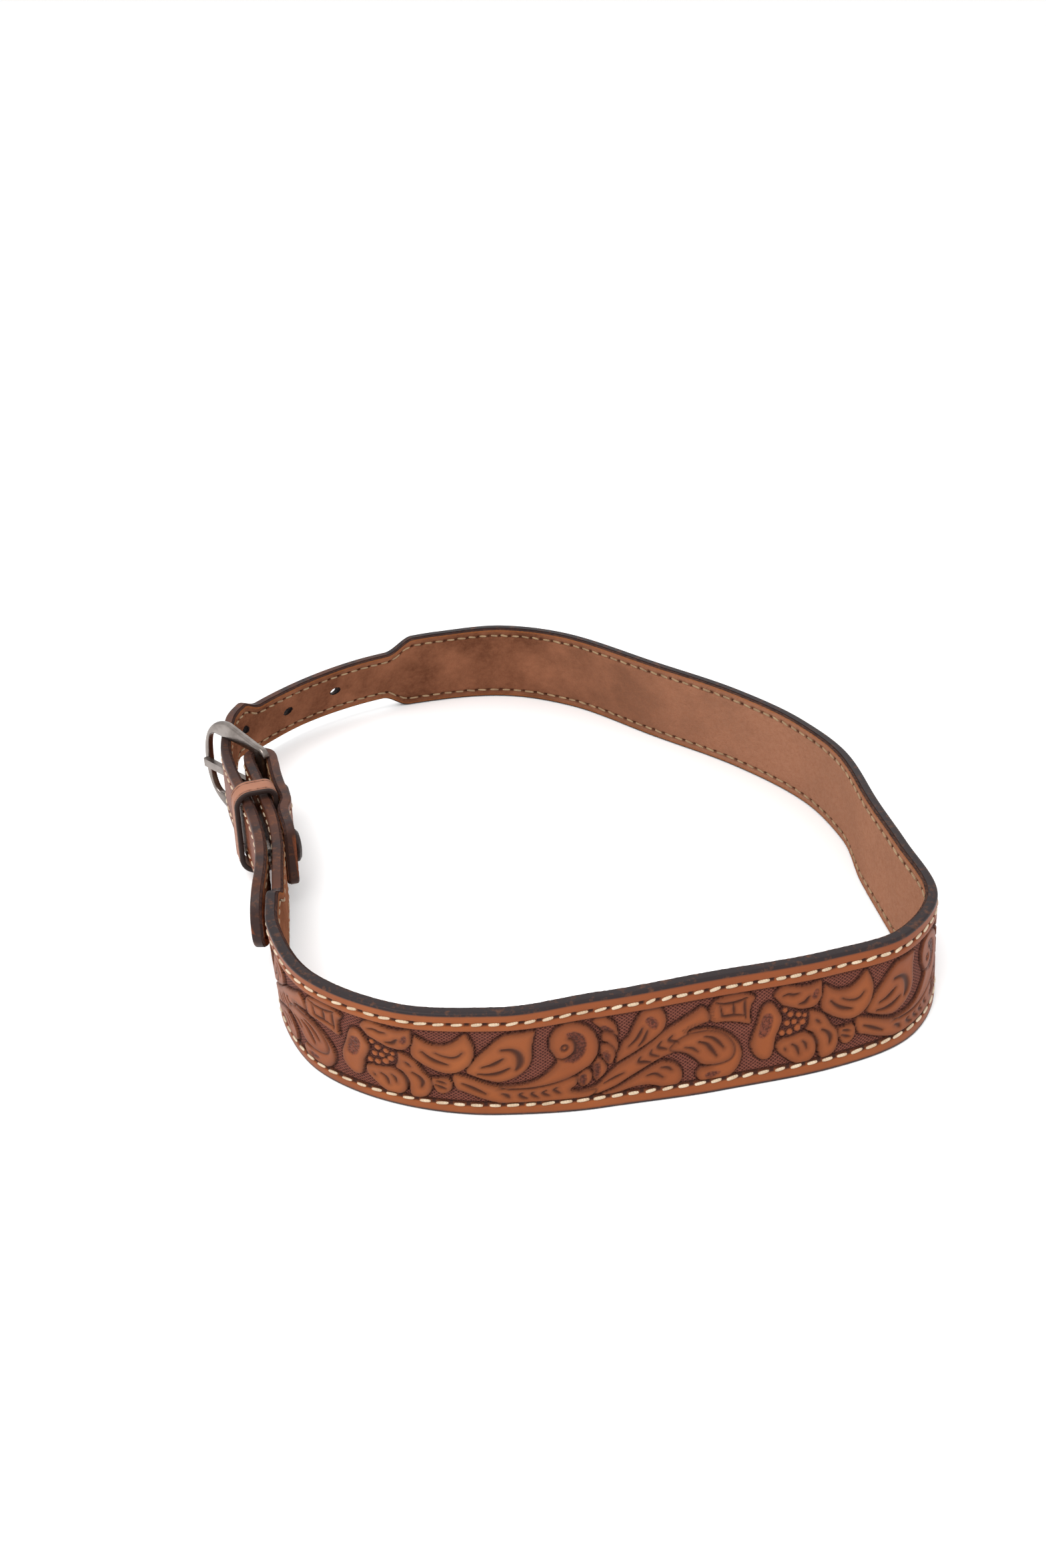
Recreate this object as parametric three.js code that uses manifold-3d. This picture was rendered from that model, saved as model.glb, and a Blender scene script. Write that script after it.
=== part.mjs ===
// A western tooled belt, buckled and standing on its lower edge. Millimetres, +Z up.
// The floor is z = 0, the origin is under the middle of the belt's box, and the front is -Y.
import * as THREE from 'three';
import { mergeVertices } from 'three/addons/utils/BufferGeometryUtils.js';
import Module from 'manifold-3d';

const wasm = await Module();
wasm.setup();

// Driving dimensions
const LOOP_WIDTH = 245.5;
const LOOP_DEPTH = 264.3;
const STRAP_WIDTH = 38.1;
const BILLET_WIDTH = 25.4;
const FACE_THICKNESS = 2.6;
const LINING_THICKNESS = 1;
const LINING_INSET = 0.3;
const EDGE_BEVEL = 0.5;
const SHOULDER_LENGTH = 12;
const BUCKLE_END = 84.7;
const FOLD_BACK_LENGTH = 53;
const FOLD_BACK_CORNER = 4;
const BILLET_LENGTH = 217;
const TIP_LENGTH = 13;
const BUCKLE_LIFT = 2.6;
const CLEARANCE = 0.3;

// Sections of the strap: how far a flat side may leave the curve, and their lengths
const SECTION_SAG = 0.09;
const SHORTEST_SECTION = 1.3;
const LONGEST_SECTION = 9;
const END_SECTION = 1.7;

const HOLE_SPACING = 25.8;
const FIRST_HOLE = 35.5;
const HOLE_LENGTH = 5;
const HOLE_HEIGHT = 3.6;
const OPEN_HOLES = 3;

const BAR_RADIUS = 1.8;
const FRAME_LENGTH = 32.5;
const FRAME_THICKNESS = 2.8;
const RAIL_HEIGHT = 7;
const TOE_BAR_WIDTH = 2.6;
const TONGUE_WIDTH = 3.2;
const TONGUE_THICKNESS = 2.2;
const TONGUE_NOSE = 0.8;

const KEEPER_THICKNESS = 1.8;
const KEEPER_WIDTH = 8.5;
const KEEPER_SLACK = 1.2;
const KEEPER_BEND = 2.2;

const CAP_RADIUS = 5.8;
const CAP_HEIGHT = 2;
const STUD_RADIUS = 4;
const STUD_HEIGHT = 0.8;
const SHANK_RADIUS = 2.2;

// Directions in plan: where the buckle's heel bar stands in the loop, and how it points.
// The leg direction leads from the heel bar along the strap, and the frame's from it to the toe.
const HEEL_BAR_ACROSS = 0.07;
const HEEL_BAR_BACK = 0.577;
const LEG_ANGLE = -70;
const FRAME_SPREAD = 28.6;

// The strap's way from the heel bar, in plan. Shares of BUCKLE_END.
const LEG_ROWS = [
  { along: 0.0, out: 0.0 },
  { along: 0.18, out: 0.0 },
  { along: 0.35, out: 0.0 },
  { along: 0.53, out: 0.003 },
  { along: 0.71, out: 0.025 },
  { along: 0.85, out: 0.055 },
  { along: 1.0, out: 0.088 },
  { along: 1.16, out: 0.126 },
  { along: 1.32, out: 0.154 },
];

// The strap's way round the loop, in plan. Shares of LOOP_WIDTH and LOOP_DEPTH from the left
// front corner, and how far the wall leans in at its top, in degrees.
const LOOP_ROWS = [
  { across: 0.212, back: 0.071, lean: -4 },
  { across: 0.316, back: 0.014, lean: -4 },
  { across: 0.438, back: 0.001, lean: 0 },
  { across: 0.56, back: 0.021, lean: 7 },
  { across: 0.703, back: 0.055, lean: 12 },
  { across: 0.841, back: 0.091, lean: 12 },
  { across: 0.943, back: 0.137, lean: 9 },
  { across: 0.998, back: 0.223, lean: 6 },
  { across: 0.982, back: 0.334, lean: 4 },
  { across: 0.965, back: 0.446, lean: 5 },
  { across: 0.954, back: 0.559, lean: 8 },
  { across: 0.908, back: 0.664, lean: 11 },
  { across: 0.817, back: 0.764, lean: 11 },
  { across: 0.69, back: 0.86, lean: 11 },
  { across: 0.547, back: 0.966, lean: 12 },
  { across: 0.432, back: 1.0, lean: 13 },
  { across: 0.312, back: 0.981, lean: 15 },
  { across: 0.198, back: 0.935, lean: 17 },
  { across: 0.098, back: 0.861, lean: 18 },
  { across: 0.025, back: 0.77, lean: 16 },
];

// The billet's way past the toe bar and over the heel. Shares of BUCKLE_END from the heel bar.
const APPROACH_ROWS = [
  { along: -0.53, out: 0.006, lean: 10 },
  { along: -0.395, out: 0.066, lean: 4 },
  { along: -0.24, out: 0.104, lean: 1 },
  { along: -0.097, out: 0.13, lean: 0 },
];

// Where the billet rides beside the strap: spare room past what lies between, in thicknesses.
const RIDE_ROWS = [
  { along: 0.07, spare: 0.55 },
  { along: 0.24, spare: 0.42 },
  { along: 0.41, spare: 0.25 },
  { along: 0.56, spare: 0.2 },
  { along: 0.69, spare: 0.1 },
  { along: 0.81, spare: 0.05 },
  { along: 0.92, spare: 0.15 },
  { along: 1.07, spare: 0.5 },
];

const SNAP_PLACES = [0.155, 0.535];
const KEEPER_PLACE = 0.337;

// Worked out from the driving dimensions
const THICKNESS = FACE_THICKNESS + CLEARANCE + LINING_THICKNESS;
const MID_HEIGHT = STRAP_WIDTH / 2;
const FOLD_RADIUS = BAR_RADIUS + CLEARANCE + THICKNESS / 2;
const HEEL_GAP = 2 * (BAR_RADIUS + CLEARANCE);
const KEEPER_ROOM = 1.5 * CLEARANCE;
const KEEPER_GAP = KEEPER_THICKNESS + 2 * KEEPER_ROOM;
const CLOSED_GAP = 2 * CLEARANCE;
const SNAP_SEAT = THICKNESS / 2 + 1.8 * CLEARANCE;
const RIDE_GAP = STUD_HEIGHT + 2 * CLEARANCE;

// The gap between the strap and its folded-back end.
const FOLD_ROWS = [
  { along: 0.07, gap: HEEL_GAP * 0.8 + KEEPER_GAP * 0.2 },
  { along: 0.16, gap: HEEL_GAP * 0.3 + KEEPER_GAP * 0.7 },
  { along: 0.27, gap: KEEPER_GAP },
  { along: 0.39, gap: KEEPER_GAP },
  { along: 0.46, gap: CLOSED_GAP },
  { along: 0.6, gap: CLOSED_GAP },
  { along: 0.74, gap: CLOSED_GAP + THICKNESS * 0.3 },
  { along: 1.1, gap: CLOSED_GAP + THICKNESS * 0.9 },
];

const radians = THREE.MathUtils.degToRad;
const heelBar = new THREE.Vector2(HEEL_BAR_ACROSS * LOOP_WIDTH, HEEL_BAR_BACK * LOOP_DEPTH);
const legDirection = new THREE.Vector2(Math.cos(radians(LEG_ANGLE)), Math.sin(radians(LEG_ANGLE)));
const outDirection = new THREE.Vector2(legDirection.y, -legDirection.x);

function legPlace(along, out) {
  const x = heelBar.x + legDirection.x * along + outDirection.x * out;
  const y = heelBar.y + legDirection.y * along + outDirection.y * out;
  return new THREE.Vector3(x, y, 0);
}

function readRows(rows, along, column) {
  let next = rows.findIndex((row) => row.along >= along);
  if (next === -1) next = rows.length - 1;
  if (next === 0) next = 1;
  const low = rows[next - 1];
  const high = rows[next];
  const share = (along - low.along) / (high.along - low.along);
  return low[column] + (high[column] - low[column]) * share;
}

// Distance outward from the heel bar of the strap's middle, where it leaves the buckle.
function legOut(along) {
  return FOLD_RADIUS + readRows(LEG_ROWS, along / BUCKLE_END, 'out') * BUCKLE_END;
}

function foldBackOut(along) {
  return legOut(along) - THICKNESS - readRows(FOLD_ROWS, along / BUCKLE_END, 'gap');
}

function rideOut(along) {
  const spare = readRows(RIDE_ROWS, along / BUCKLE_END, 'spare') * THICKNESS;
  return legOut(along) + THICKNESS + RIDE_GAP + spare;
}

// Every point of the strap's middle line, from the folded-back end to the billet's tip.
function routePoints() {
  const points = [];
  const add = (place, lean, lift) => points.push({ place, lean, lift });
  const foldEnd = FOLD_BACK_LENGTH;
  const foldPlaces = FOLD_ROWS.map((row) => row.along * BUCKLE_END)
    .filter((along) => along < foldEnd - THICKNESS);
  add(legPlace(foldEnd, foldBackOut(foldEnd)), 0, BUCKLE_LIFT);
  for (const along of foldPlaces.reverse()) add(legPlace(along, foldBackOut(along)), 0, BUCKLE_LIFT);
  for (let turn = 0; turn <= 180; turn += 30) {
    const along = -FOLD_RADIUS * Math.sin(radians(turn));
    const out = -FOLD_RADIUS * Math.cos(radians(turn));
    add(legPlace(along, out), 0, BUCKLE_LIFT);
  }
  for (const row of LEG_ROWS.slice(1)) {
    const along = row.along * BUCKLE_END;
    const lift = BUCKLE_LIFT * THREE.MathUtils.clamp(2 - 2 * row.along, 0, 1);
    add(legPlace(along, legOut(along)), row.along > 1 ? -3 : 0, lift);
  }
  for (const row of LOOP_ROWS) {
    const place = new THREE.Vector3(row.across * LOOP_WIDTH, row.back * LOOP_DEPTH, 0);
    add(place, row.lean, 0);
  }
  for (const row of APPROACH_ROWS) {
    add(legPlace(row.along * BUCKLE_END, row.out * BUCKLE_END), row.lean, BUCKLE_LIFT);
  }
  for (const row of RIDE_ROWS) {
    const along = row.along * BUCKLE_END;
    add(legPlace(along, rideOut(along)), 0, BUCKLE_LIFT);
  }
  return points;
}

// The route as a smooth curve that can be read by its length.
function makeRoute() {
  const points = routePoints();
  const curve = new THREE.CatmullRomCurve3(points.map((point) => point.place));
  const samples = 60 * points.length;
  const lengths = [0];
  let before = curve.getPoint(0);
  for (let sample = 1; sample <= samples; sample += 1) {
    const here = curve.getPoint(sample / samples);
    lengths.push(lengths[sample - 1] + here.distanceTo(before));
    before = here;
  }
  const parameter = (length) => {
    let low = 0;
    let high = samples;
    while (high - low > 1) {
      const middle = (low + high) >> 1;
      if (lengths[middle] > length) high = middle;
      else low = middle;
    }
    const share = (length - lengths[low]) / (lengths[high] - lengths[low]);
    return THREE.MathUtils.clamp((low + share) / samples, 0, 1);
  };
  const station = (length) => {
    const position = parameter(length);
    const row = Math.min(Math.floor(position * (points.length - 1)), points.length - 2);
    const share = position * (points.length - 1) - row;
    const eased = share * share * (3 - 2 * share);
    const along = curve.getTangent(position);
    const out = new THREE.Vector3(along.y, -along.x, 0);
    const lean = THREE.MathUtils.lerp(points[row].lean, points[row + 1].lean, eased);
    const lift = THREE.MathUtils.lerp(points[row].lift, points[row + 1].lift, eased);
    return { place: curve.getPoint(position), along, out, lean: radians(lean), lift };
  };
  return { station, length: lengths[samples] };
}

const route = makeRoute();

// The length along the route that lies nearest to a place, between two lengths.
function lengthNear(place, from, to) {
  let best = from;
  let bestDistance = Infinity;
  for (let length = from; length <= to; length += 0.25) {
    const distance = route.station(length).place.distanceTo(place);
    if (distance < bestDistance) {
      bestDistance = distance;
      best = length;
    }
  }
  return best;
}

const heelLength = lengthNear(legPlace(-FOLD_RADIUS, 0), 0, FOLD_BACK_LENGTH * 1.5);
const nearShoulder = heelLength + FOLD_RADIUS * Math.PI / 2 + BUCKLE_END;
const farShoulder = route.length - BILLET_LENGTH;

// Half the strap's width at a length: narrow ends, ogee shoulders and rounded corners.
function halfWidth(length) {
  const rise = THREE.MathUtils.smoothstep(length, nearShoulder, nearShoulder + SHOULDER_LENGTH);
  const fall = THREE.MathUtils.smoothstep(length, farShoulder - SHOULDER_LENGTH, farShoulder);
  const half = THREE.MathUtils.lerp(BILLET_WIDTH, STRAP_WIDTH, Math.min(rise, 1 - fall)) / 2;
  const startLeft = THREE.MathUtils.clamp(1 - length / FOLD_BACK_CORNER, 0, 1);
  const startCut = FOLD_BACK_CORNER * (1 - Math.sqrt(1 - startLeft * startLeft));
  const tipLeft = THREE.MathUtils.clamp(1 - (route.length - length) / TIP_LENGTH, 0, 1);
  const tipCut = half * 0.82 * (1 - Math.sqrt(1 - tipLeft * tipLeft));
  return half - startCut - tipCut;
}

// The place of a point of the wall: outward from its middle and up from its mid-height.
function wallPoint(station, outward, up) {
  const slope = Math.sin(station.lean);
  const point = station.place.clone().addScaledVector(station.out, outward - up * slope);
  point.z = (MID_HEIGHT + up) * Math.cos(station.lean) + station.lift;
  return point;
}

// Lengths of the sections: close together in bends, shoulders and rounded ends.
function sectionLengths() {
  const near = (length, place, reach) => Math.abs(length - place) < reach;
  const lengths = [0];
  while (lengths[lengths.length - 1] < route.length - 0.5) {
    const here = lengths[lengths.length - 1];
    const bend = Math.max(...[0, 2.5, 5].map((ahead) => {
      const first = route.station(here + ahead).along;
      const second = route.station(here + ahead + 1).along;
      return first.angleTo(second);
    }));
    let step = Math.sqrt(8 * SECTION_SAG / Math.max(bend, 1e-4));
    const atShoulder = near(here, nearShoulder + SHOULDER_LENGTH / 2, SHOULDER_LENGTH * 0.7)
      || near(here, farShoulder - SHOULDER_LENGTH / 2, SHOULDER_LENGTH * 0.7);
    const atEnd = here < FOLD_BACK_CORNER || here > route.length - TIP_LENGTH;
    if (atShoulder || atEnd) step = Math.min(step, END_SECTION);
    step = THREE.MathUtils.clamp(step, SHORTEST_SECTION, LONGEST_SECTION);
    lengths.push(Math.min(here + step, route.length));
  }
  return lengths;
}

// A closed body through rings of points, all with the same count. Where a side twists, its two
// triangles meet from high to low, so that layers laid on each other follow one surface.
function skin(rings) {
  const count = rings[0].length;
  const positions = rings.flat().flatMap((point) => [point.x, point.y, point.z]);
  const faces = [];
  for (let ring = 0; ring < rings.length - 1; ring += 1) {
    for (let side = 0; side < count; side += 1) {
      const next = (side + 1) % count;
      const a = ring * count + side;
      const b = ring * count + next;
      const c = (ring + 1) * count + next;
      const d = (ring + 1) * count + side;
      const falls = rings[ring][side].z > rings[ring][next].z;
      if (falls) faces.push(a, c, b, a, d, c);
      else faces.push(a, d, b, b, d, c);
    }
  }
  const last = (rings.length - 1) * count;
  for (let side = 1; side < count - 1; side += 1) {
    faces.push(0, side, side + 1);
    faces.push(last, last + side + 1, last + side);
  }
  const geometry = new THREE.BufferGeometry();
  geometry.setAttribute('position', new THREE.Float32BufferAttribute(positions, 3));
  geometry.setIndex(faces);
  return geometry;
}

function toSolid(geometry) {
  const bare = geometry.clone();
  bare.deleteAttribute('normal');
  bare.deleteAttribute('uv');
  const merged = mergeVertices(bare, 1e-4);
  const mesh = new wasm.Mesh({
    numProp: 3,
    vertProperties: new Float32Array(merged.attributes.position.array),
    triVerts: new Uint32Array(merged.index.array),
  });
  return new wasm.Manifold(mesh);
}

function toGeometry(solid) {
  const mesh = solid.getMesh();
  const geometry = new THREE.BufferGeometry();
  geometry.setAttribute('position', new THREE.BufferAttribute(new Float32Array(mesh.vertProperties), 3));
  geometry.setIndex(new THREE.BufferAttribute(new Uint32Array(mesh.triVerts), 1));
  geometry.computeVertexNormals();
  return geometry;
}

function cutAll(solid, cutters) {
  return cutters.reduce((left, cutter) => left.subtract(toSolid(cutter)), solid);
}

function extrude(shape, depth, curveSegments) {
  return new THREE.ExtrudeGeometry(shape, { depth, bevelEnabled: false, curveSegments });
}

// Turns geometry so that its X and Y point along two axes, and moves it to an origin.
function stand(geometry, xAxis, yAxis, origin) {
  const basis = new THREE.Matrix4().makeBasis(xAxis, yAxis, xAxis.clone().cross(yAxis));
  return geometry.clone().applyMatrix4(basis.setPosition(origin));
}

const up = new THREE.Vector3(0, 0, 1);
const buckleHeight = MID_HEIGHT + BUCKLE_LIFT;
const leg3 = new THREE.Vector3(legDirection.x, legDirection.y, 0);
const out3 = new THREE.Vector3(outDirection.x, outDirection.y, 0);
const frameAngle = radians(FRAME_SPREAD);
const toToe = leg3.clone().multiplyScalar(-Math.cos(frameAngle))
  .addScaledVector(out3, Math.sin(frameAngle));
const frameOut = out3.clone().multiplyScalar(Math.cos(frameAngle))
  .addScaledVector(leg3, Math.sin(frameAngle));
const heelCentre = new THREE.Vector3(heelBar.x, heelBar.y, buckleHeight);

// The buckle: a horseshoe frame with a round heel bar, as one casting
function windowHalf() {
  return BILLET_WIDTH / 2 + 1.3 * CLEARANCE;
}

function frameOutline() {
  const half = windowHalf() + RAIL_HEIGHT;
  const heelHalf = windowHalf() + RAIL_HEIGHT * 0.5;
  const heelReach = -BAR_RADIUS * 2.3;
  const shape = new THREE.Shape();
  shape.moveTo(heelReach, windowHalf());
  shape.quadraticCurveTo(heelReach, heelHalf, -heelReach * 0.2, heelHalf);
  shape.lineTo(FRAME_LENGTH * 0.5, half);
  shape.bezierCurveTo(FRAME_LENGTH * 0.82, half, FRAME_LENGTH, half * 0.55, FRAME_LENGTH, 0);
  shape.bezierCurveTo(FRAME_LENGTH, -half * 0.55, FRAME_LENGTH * 0.82, -half, FRAME_LENGTH * 0.5, -half);
  shape.lineTo(-heelReach * 0.2, -heelHalf);
  shape.quadraticCurveTo(heelReach, -heelHalf, heelReach, -windowHalf());
  const inner = windowHalf();
  const toe = FRAME_LENGTH - TOE_BAR_WIDTH;
  shape.lineTo(toe - inner * 0.42, -inner);
  shape.bezierCurveTo(toe - inner * 0.12, -inner, toe, -inner * 0.75, toe, 0);
  shape.bezierCurveTo(toe, inner * 0.75, toe - inner * 0.12, inner, toe - inner * 0.42, inner);
  return shape;
}

function buckleFrame() {
  const plate = extrude(frameOutline(), FRAME_THICKNESS, 10).translate(0, 0, -FRAME_THICKNESS / 2);
  const standing = stand(plate, toToe, up, heelCentre);
  const barLength = 2 * windowHalf() + RAIL_HEIGHT * 0.5;
  const bar = new THREE.CylinderGeometry(BAR_RADIUS, BAR_RADIUS, barLength, 16).rotateX(Math.PI / 2);
  const barStanding = bar.translate(heelCentre.x, heelCentre.y, heelCentre.z);
  return toGeometry(toSolid(standing).add(toSolid(barStanding)));
}

// Where the tongue lies outward from the frame's middle plane
const tongueNear = FRAME_THICKNESS / 2 + CLEARANCE;
const tongueFar = tongueNear + TONGUE_THICKNESS;

function tongueShank(from, to, spare) {
  const low = tongueNear - spare;
  const high = tongueFar + spare;
  const shape = new THREE.Shape();
  shape.moveTo(from, low);
  shape.lineTo(to, low);
  shape.quadraticCurveTo(to + TONGUE_NOSE, low, to + TONGUE_NOSE, (low + high) / 2);
  shape.quadraticCurveTo(to + TONGUE_NOSE, high, to, high);
  shape.lineTo(from, high);
  const width = TONGUE_WIDTH + 2 * spare;
  const bar = extrude(shape, width, 3).translate(0, 0, -width / 2);
  return stand(bar, toToe, frameOut, heelCentre);
}

function buckleTongue() {
  const inner = BAR_RADIUS + CLEARANCE;
  const outer = Math.max(tongueFar, inner + 1);
  const eye = new THREE.Shape();
  eye.absarc(0, 0, outer, 0, 2 * Math.PI);
  const bore = new THREE.Path();
  bore.absarc(0, 0, inner, 0, 2 * Math.PI, true);
  eye.holes.push(bore);
  const ring = extrude(eye, TONGUE_WIDTH, 10).translate(0, 0, -TONGUE_WIDTH / 2);
  const standing = stand(ring, toToe, frameOut, heelCentre);
  const shank = tongueShank(inner * 0.6, FRAME_LENGTH - TOE_BAR_WIDTH * 0.8 - TONGUE_NOSE, 0);
  const clearBore = new THREE.CylinderGeometry(inner, inner, TONGUE_WIDTH * 3, 20).rotateX(Math.PI / 2);
  clearBore.translate(heelCentre.x, heelCentre.y, heelCentre.z);
  const joined = toSolid(standing).add(toSolid(shank));
  return toGeometry(joined.subtract(toSolid(clearBore)));
}

// Where the tongue passes through the billet, as a length along the route
function tongueCrossing() {
  let best = farShoulder;
  let bestGap = Infinity;
  for (let length = farShoulder; length < route.length - BUCKLE_END; length += 0.25) {
    const offset = route.station(length).place.sub(heelCentre);
    const gap = Math.abs(offset.dot(frameOut) - (tongueNear + tongueFar) / 2);
    if (offset.dot(toToe) > 0 && gap < bestGap) {
      bestGap = gap;
      best = length;
    }
  }
  return best;
}

const crossing = tongueCrossing();

// The cutters for the strap and its lining: adjusting holes, tongue hole, tongue slot, snap holes
function adjustingHoles() {
  const outline = new THREE.Shape();
  outline.absellipse(0, 0, HOLE_LENGTH / 2, HOLE_HEIGHT / 2, 0, 2 * Math.PI);
  const pin = extrude(outline, 4 * THICKNESS, 8).translate(0, 0, -2 * THICKNESS);
  const holes = [];
  for (let hole = 1; hole <= OPEN_HOLES; hole += 1) {
    const station = route.station(crossing - FIRST_HOLE - (hole - 1) * HOLE_SPACING);
    holes.push(stand(pin, station.along, up, wallPoint(station, 0, 0)));
  }
  return holes;
}

function tongueHole() {
  const place = route.station(crossing).place.sub(heelCentre).dot(toToe);
  const reach = 2.4 * THICKNESS;
  return tongueShank(place - reach, place + reach, 1.5 * CLEARANCE);
}

function tongueSlot() {
  const eye = Math.max(tongueFar, BAR_RADIUS + CLEARANCE + 1) + CLEARANCE;
  const outward = FOLD_RADIUS + THICKNESS * 0.8;
  const back = FOLD_RADIUS + THICKNESS * 0.8;
  const slot = new THREE.BoxGeometry(eye + back, 2 * outward, TONGUE_WIDTH + 3 * CLEARANCE);
  slot.translate((eye - back) / 2, 0, 0);
  return stand(slot, leg3, out3, heelCentre);
}

function snapHoles() {
  const radius = SHANK_RADIUS + CLEARANCE;
  const hole = new THREE.CylinderGeometry(radius, radius, 1.4 * THICKNESS, 16);
  const holes = [];
  for (const snap of snapStations()) {
    holes.push(stand(hole, snap.inner.along, snap.inner.out, snap.innerCentre));
    holes.push(stand(hole, snap.outer.along, snap.outer.out, snap.outerCentre));
  }
  return holes;
}

function snapStations() {
  return SNAP_PLACES.map((share) => {
    const along = share * BUCKLE_END;
    const outerLength = lengthNear(legPlace(along, legOut(along)), heelLength, nearShoulder);
    const innerLength = lengthNear(legPlace(along, foldBackOut(along)), 0, heelLength);
    const inner = route.station(innerLength);
    const outer = route.station(outerLength);
    return {
      inner,
      outer,
      innerCentre: wallPoint(inner, 0, 0),
      outerCentre: wallPoint(outer, 0, 0),
    };
  });
}

// The leather: a tooled face and a suede lining, both over the whole route
function faceRing(station, half) {
  const outer = THICKNESS / 2;
  const inner = outer - FACE_THICKNESS;
  const bevel = Math.min(EDGE_BEVEL, half * 0.3);
  return [
    wallPoint(station, outer, -half + bevel),
    wallPoint(station, outer, half - bevel),
    wallPoint(station, outer - bevel, half),
    wallPoint(station, inner, half),
    wallPoint(station, inner, -half),
    wallPoint(station, outer - bevel, -half),
  ];
}

function liningRing(station, half) {
  const inner = -THICKNESS / 2;
  const outer = inner + LINING_THICKNESS;
  const reach = half - LINING_INSET;
  return [
    wallPoint(station, outer, -reach),
    wallPoint(station, outer, reach),
    wallPoint(station, inner, reach),
    wallPoint(station, inner, -reach),
  ];
}

function leather(ring) {
  const rings = sectionLengths().map((length) => ring(route.station(length), halfWidth(length)));
  const cutters = [...adjustingHoles(), tongueHole(), tongueSlot(), ...snapHoles()];
  return toGeometry(cutAll(toSolid(skin(rings)), cutters));
}

// The keeper: a leather band round the strap and the billet, closed between strap and fold-back
function keeper() {
  const along = KEEPER_PLACE * BUCKLE_END;
  const inside = legOut(along) - THICKNESS / 2 - KEEPER_ROOM;
  const outside = rideOut(along) + THICKNESS / 2 + KEEPER_SLACK;
  const half = BILLET_WIDTH / 2 + 2 * KEEPER_SLACK;
  const left = inside - KEEPER_THICKNESS;
  const right = outside + KEEPER_THICKNESS;
  const innerBend = KEEPER_BEND + KEEPER_THICKNESS;
  const outerBend = 2 * KEEPER_BEND + KEEPER_THICKNESS;
  const ring = roundedBox(left, right, half + KEEPER_THICKNESS, innerBend, outerBend);
  ring.holes.push(roundedBox(inside, outside, half, KEEPER_BEND, 2 * KEEPER_BEND));
  const band = extrude(ring, KEEPER_WIDTH, 5);
  const origin = legPlace(along + KEEPER_WIDTH / 2, 0).setZ(buckleHeight);
  return stand(band, out3, up, origin);
}

function roundedBox(left, right, half, leftRadius, rightRadius) {
  const shape = new THREE.Shape();
  shape.moveTo(left + leftRadius, -half);
  shape.lineTo(right - rightRadius, -half);
  shape.absarc(right - rightRadius, -half + rightRadius, rightRadius, -Math.PI / 2, 0);
  shape.lineTo(right, half - rightRadius);
  shape.absarc(right - rightRadius, half - rightRadius, rightRadius, 0, Math.PI / 2);
  shape.lineTo(left + leftRadius, half);
  shape.absarc(left + leftRadius, half - leftRadius, leftRadius, Math.PI / 2, Math.PI);
  shape.lineTo(left, -half + leftRadius);
  shape.absarc(left + leftRadius, -half + leftRadius, leftRadius, Math.PI, 1.5 * Math.PI);
  return shape;
}

// The snaps: a domed cap with its shank on the fold-back, a flat stud with its own on the strap
function turned(profile, station, centre) {
  const points = profile.map(([radius, height]) => new THREE.Vector2(radius, height));
  const lathe = new THREE.LatheGeometry(points, 20);
  return stand(lathe, station.along, station.out, centre);
}

function shankReach(snap) {
  const gap = snap.innerCentre.distanceTo(snap.outerCentre) - THICKNESS;
  return THICKNESS / 2 + gap / 2 - CLEARANCE * 0.7;
}

function snapCap(snap) {
  const profile = [
    [0, -shankReach(snap)],
    [SHANK_RADIUS, -shankReach(snap)],
    [SHANK_RADIUS, SNAP_SEAT],
    [CAP_RADIUS, SNAP_SEAT],
    [CAP_RADIUS, SNAP_SEAT + CAP_HEIGHT * 0.35],
    [CAP_RADIUS * 0.8, SNAP_SEAT + CAP_HEIGHT * 0.8],
    [CAP_RADIUS * 0.45, SNAP_SEAT + CAP_HEIGHT],
    [0, SNAP_SEAT + CAP_HEIGHT],
  ];
  return turned(profile, snap.inner, snap.innerCentre);
}

function snapStud(snap) {
  const profile = [
    [0, -shankReach(snap)],
    [SHANK_RADIUS, -shankReach(snap)],
    [SHANK_RADIUS, SNAP_SEAT],
    [STUD_RADIUS, SNAP_SEAT],
    [STUD_RADIUS, SNAP_SEAT + STUD_HEIGHT],
    [0, SNAP_SEAT + STUD_HEIGHT],
  ];
  return turned(profile, snap.outer, snap.outerCentre);
}

function named(name, geometry, color, roughness, metalness) {
  const mesh = new THREE.Mesh(geometry, new THREE.MeshStandardMaterial({ color, roughness, metalness }));
  mesh.name = name;
  return mesh;
}

const belt = new THREE.Group();
belt.add(named('strap', leather(faceRing), 0xa8663c, 0.5, 0));
belt.add(named('lining', leather(liningRing), 0x9c6b48, 0.95, 0));
belt.add(named('keeper', keeper(), 0xc08060, 0.6, 0));
belt.add(named('buckle_frame', buckleFrame(), 0xb5b0a8, 0.3, 1));
belt.add(named('buckle_tongue', buckleTongue(), 0xb5b0a8, 0.35, 1));
snapStations().forEach((snap, index) => {
  belt.add(named(`snap_cap_${index + 1}`, snapCap(snap), 0x4a4440, 0.45, 0.8));
  belt.add(named(`snap_stud_${index + 1}`, snapStud(snap), 0xb5b0a8, 0.35, 1));
});

// The origin goes under the middle of the belt's box.
const box = new THREE.Box3().setFromObject(belt);
const middle = box.getCenter(new THREE.Vector3());
belt.position.set(-middle.x, -middle.y, -box.min.z);

export default belt;
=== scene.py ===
"""A western tooled belt, buckled and standing on its lower edge on a pale floor."""

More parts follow.
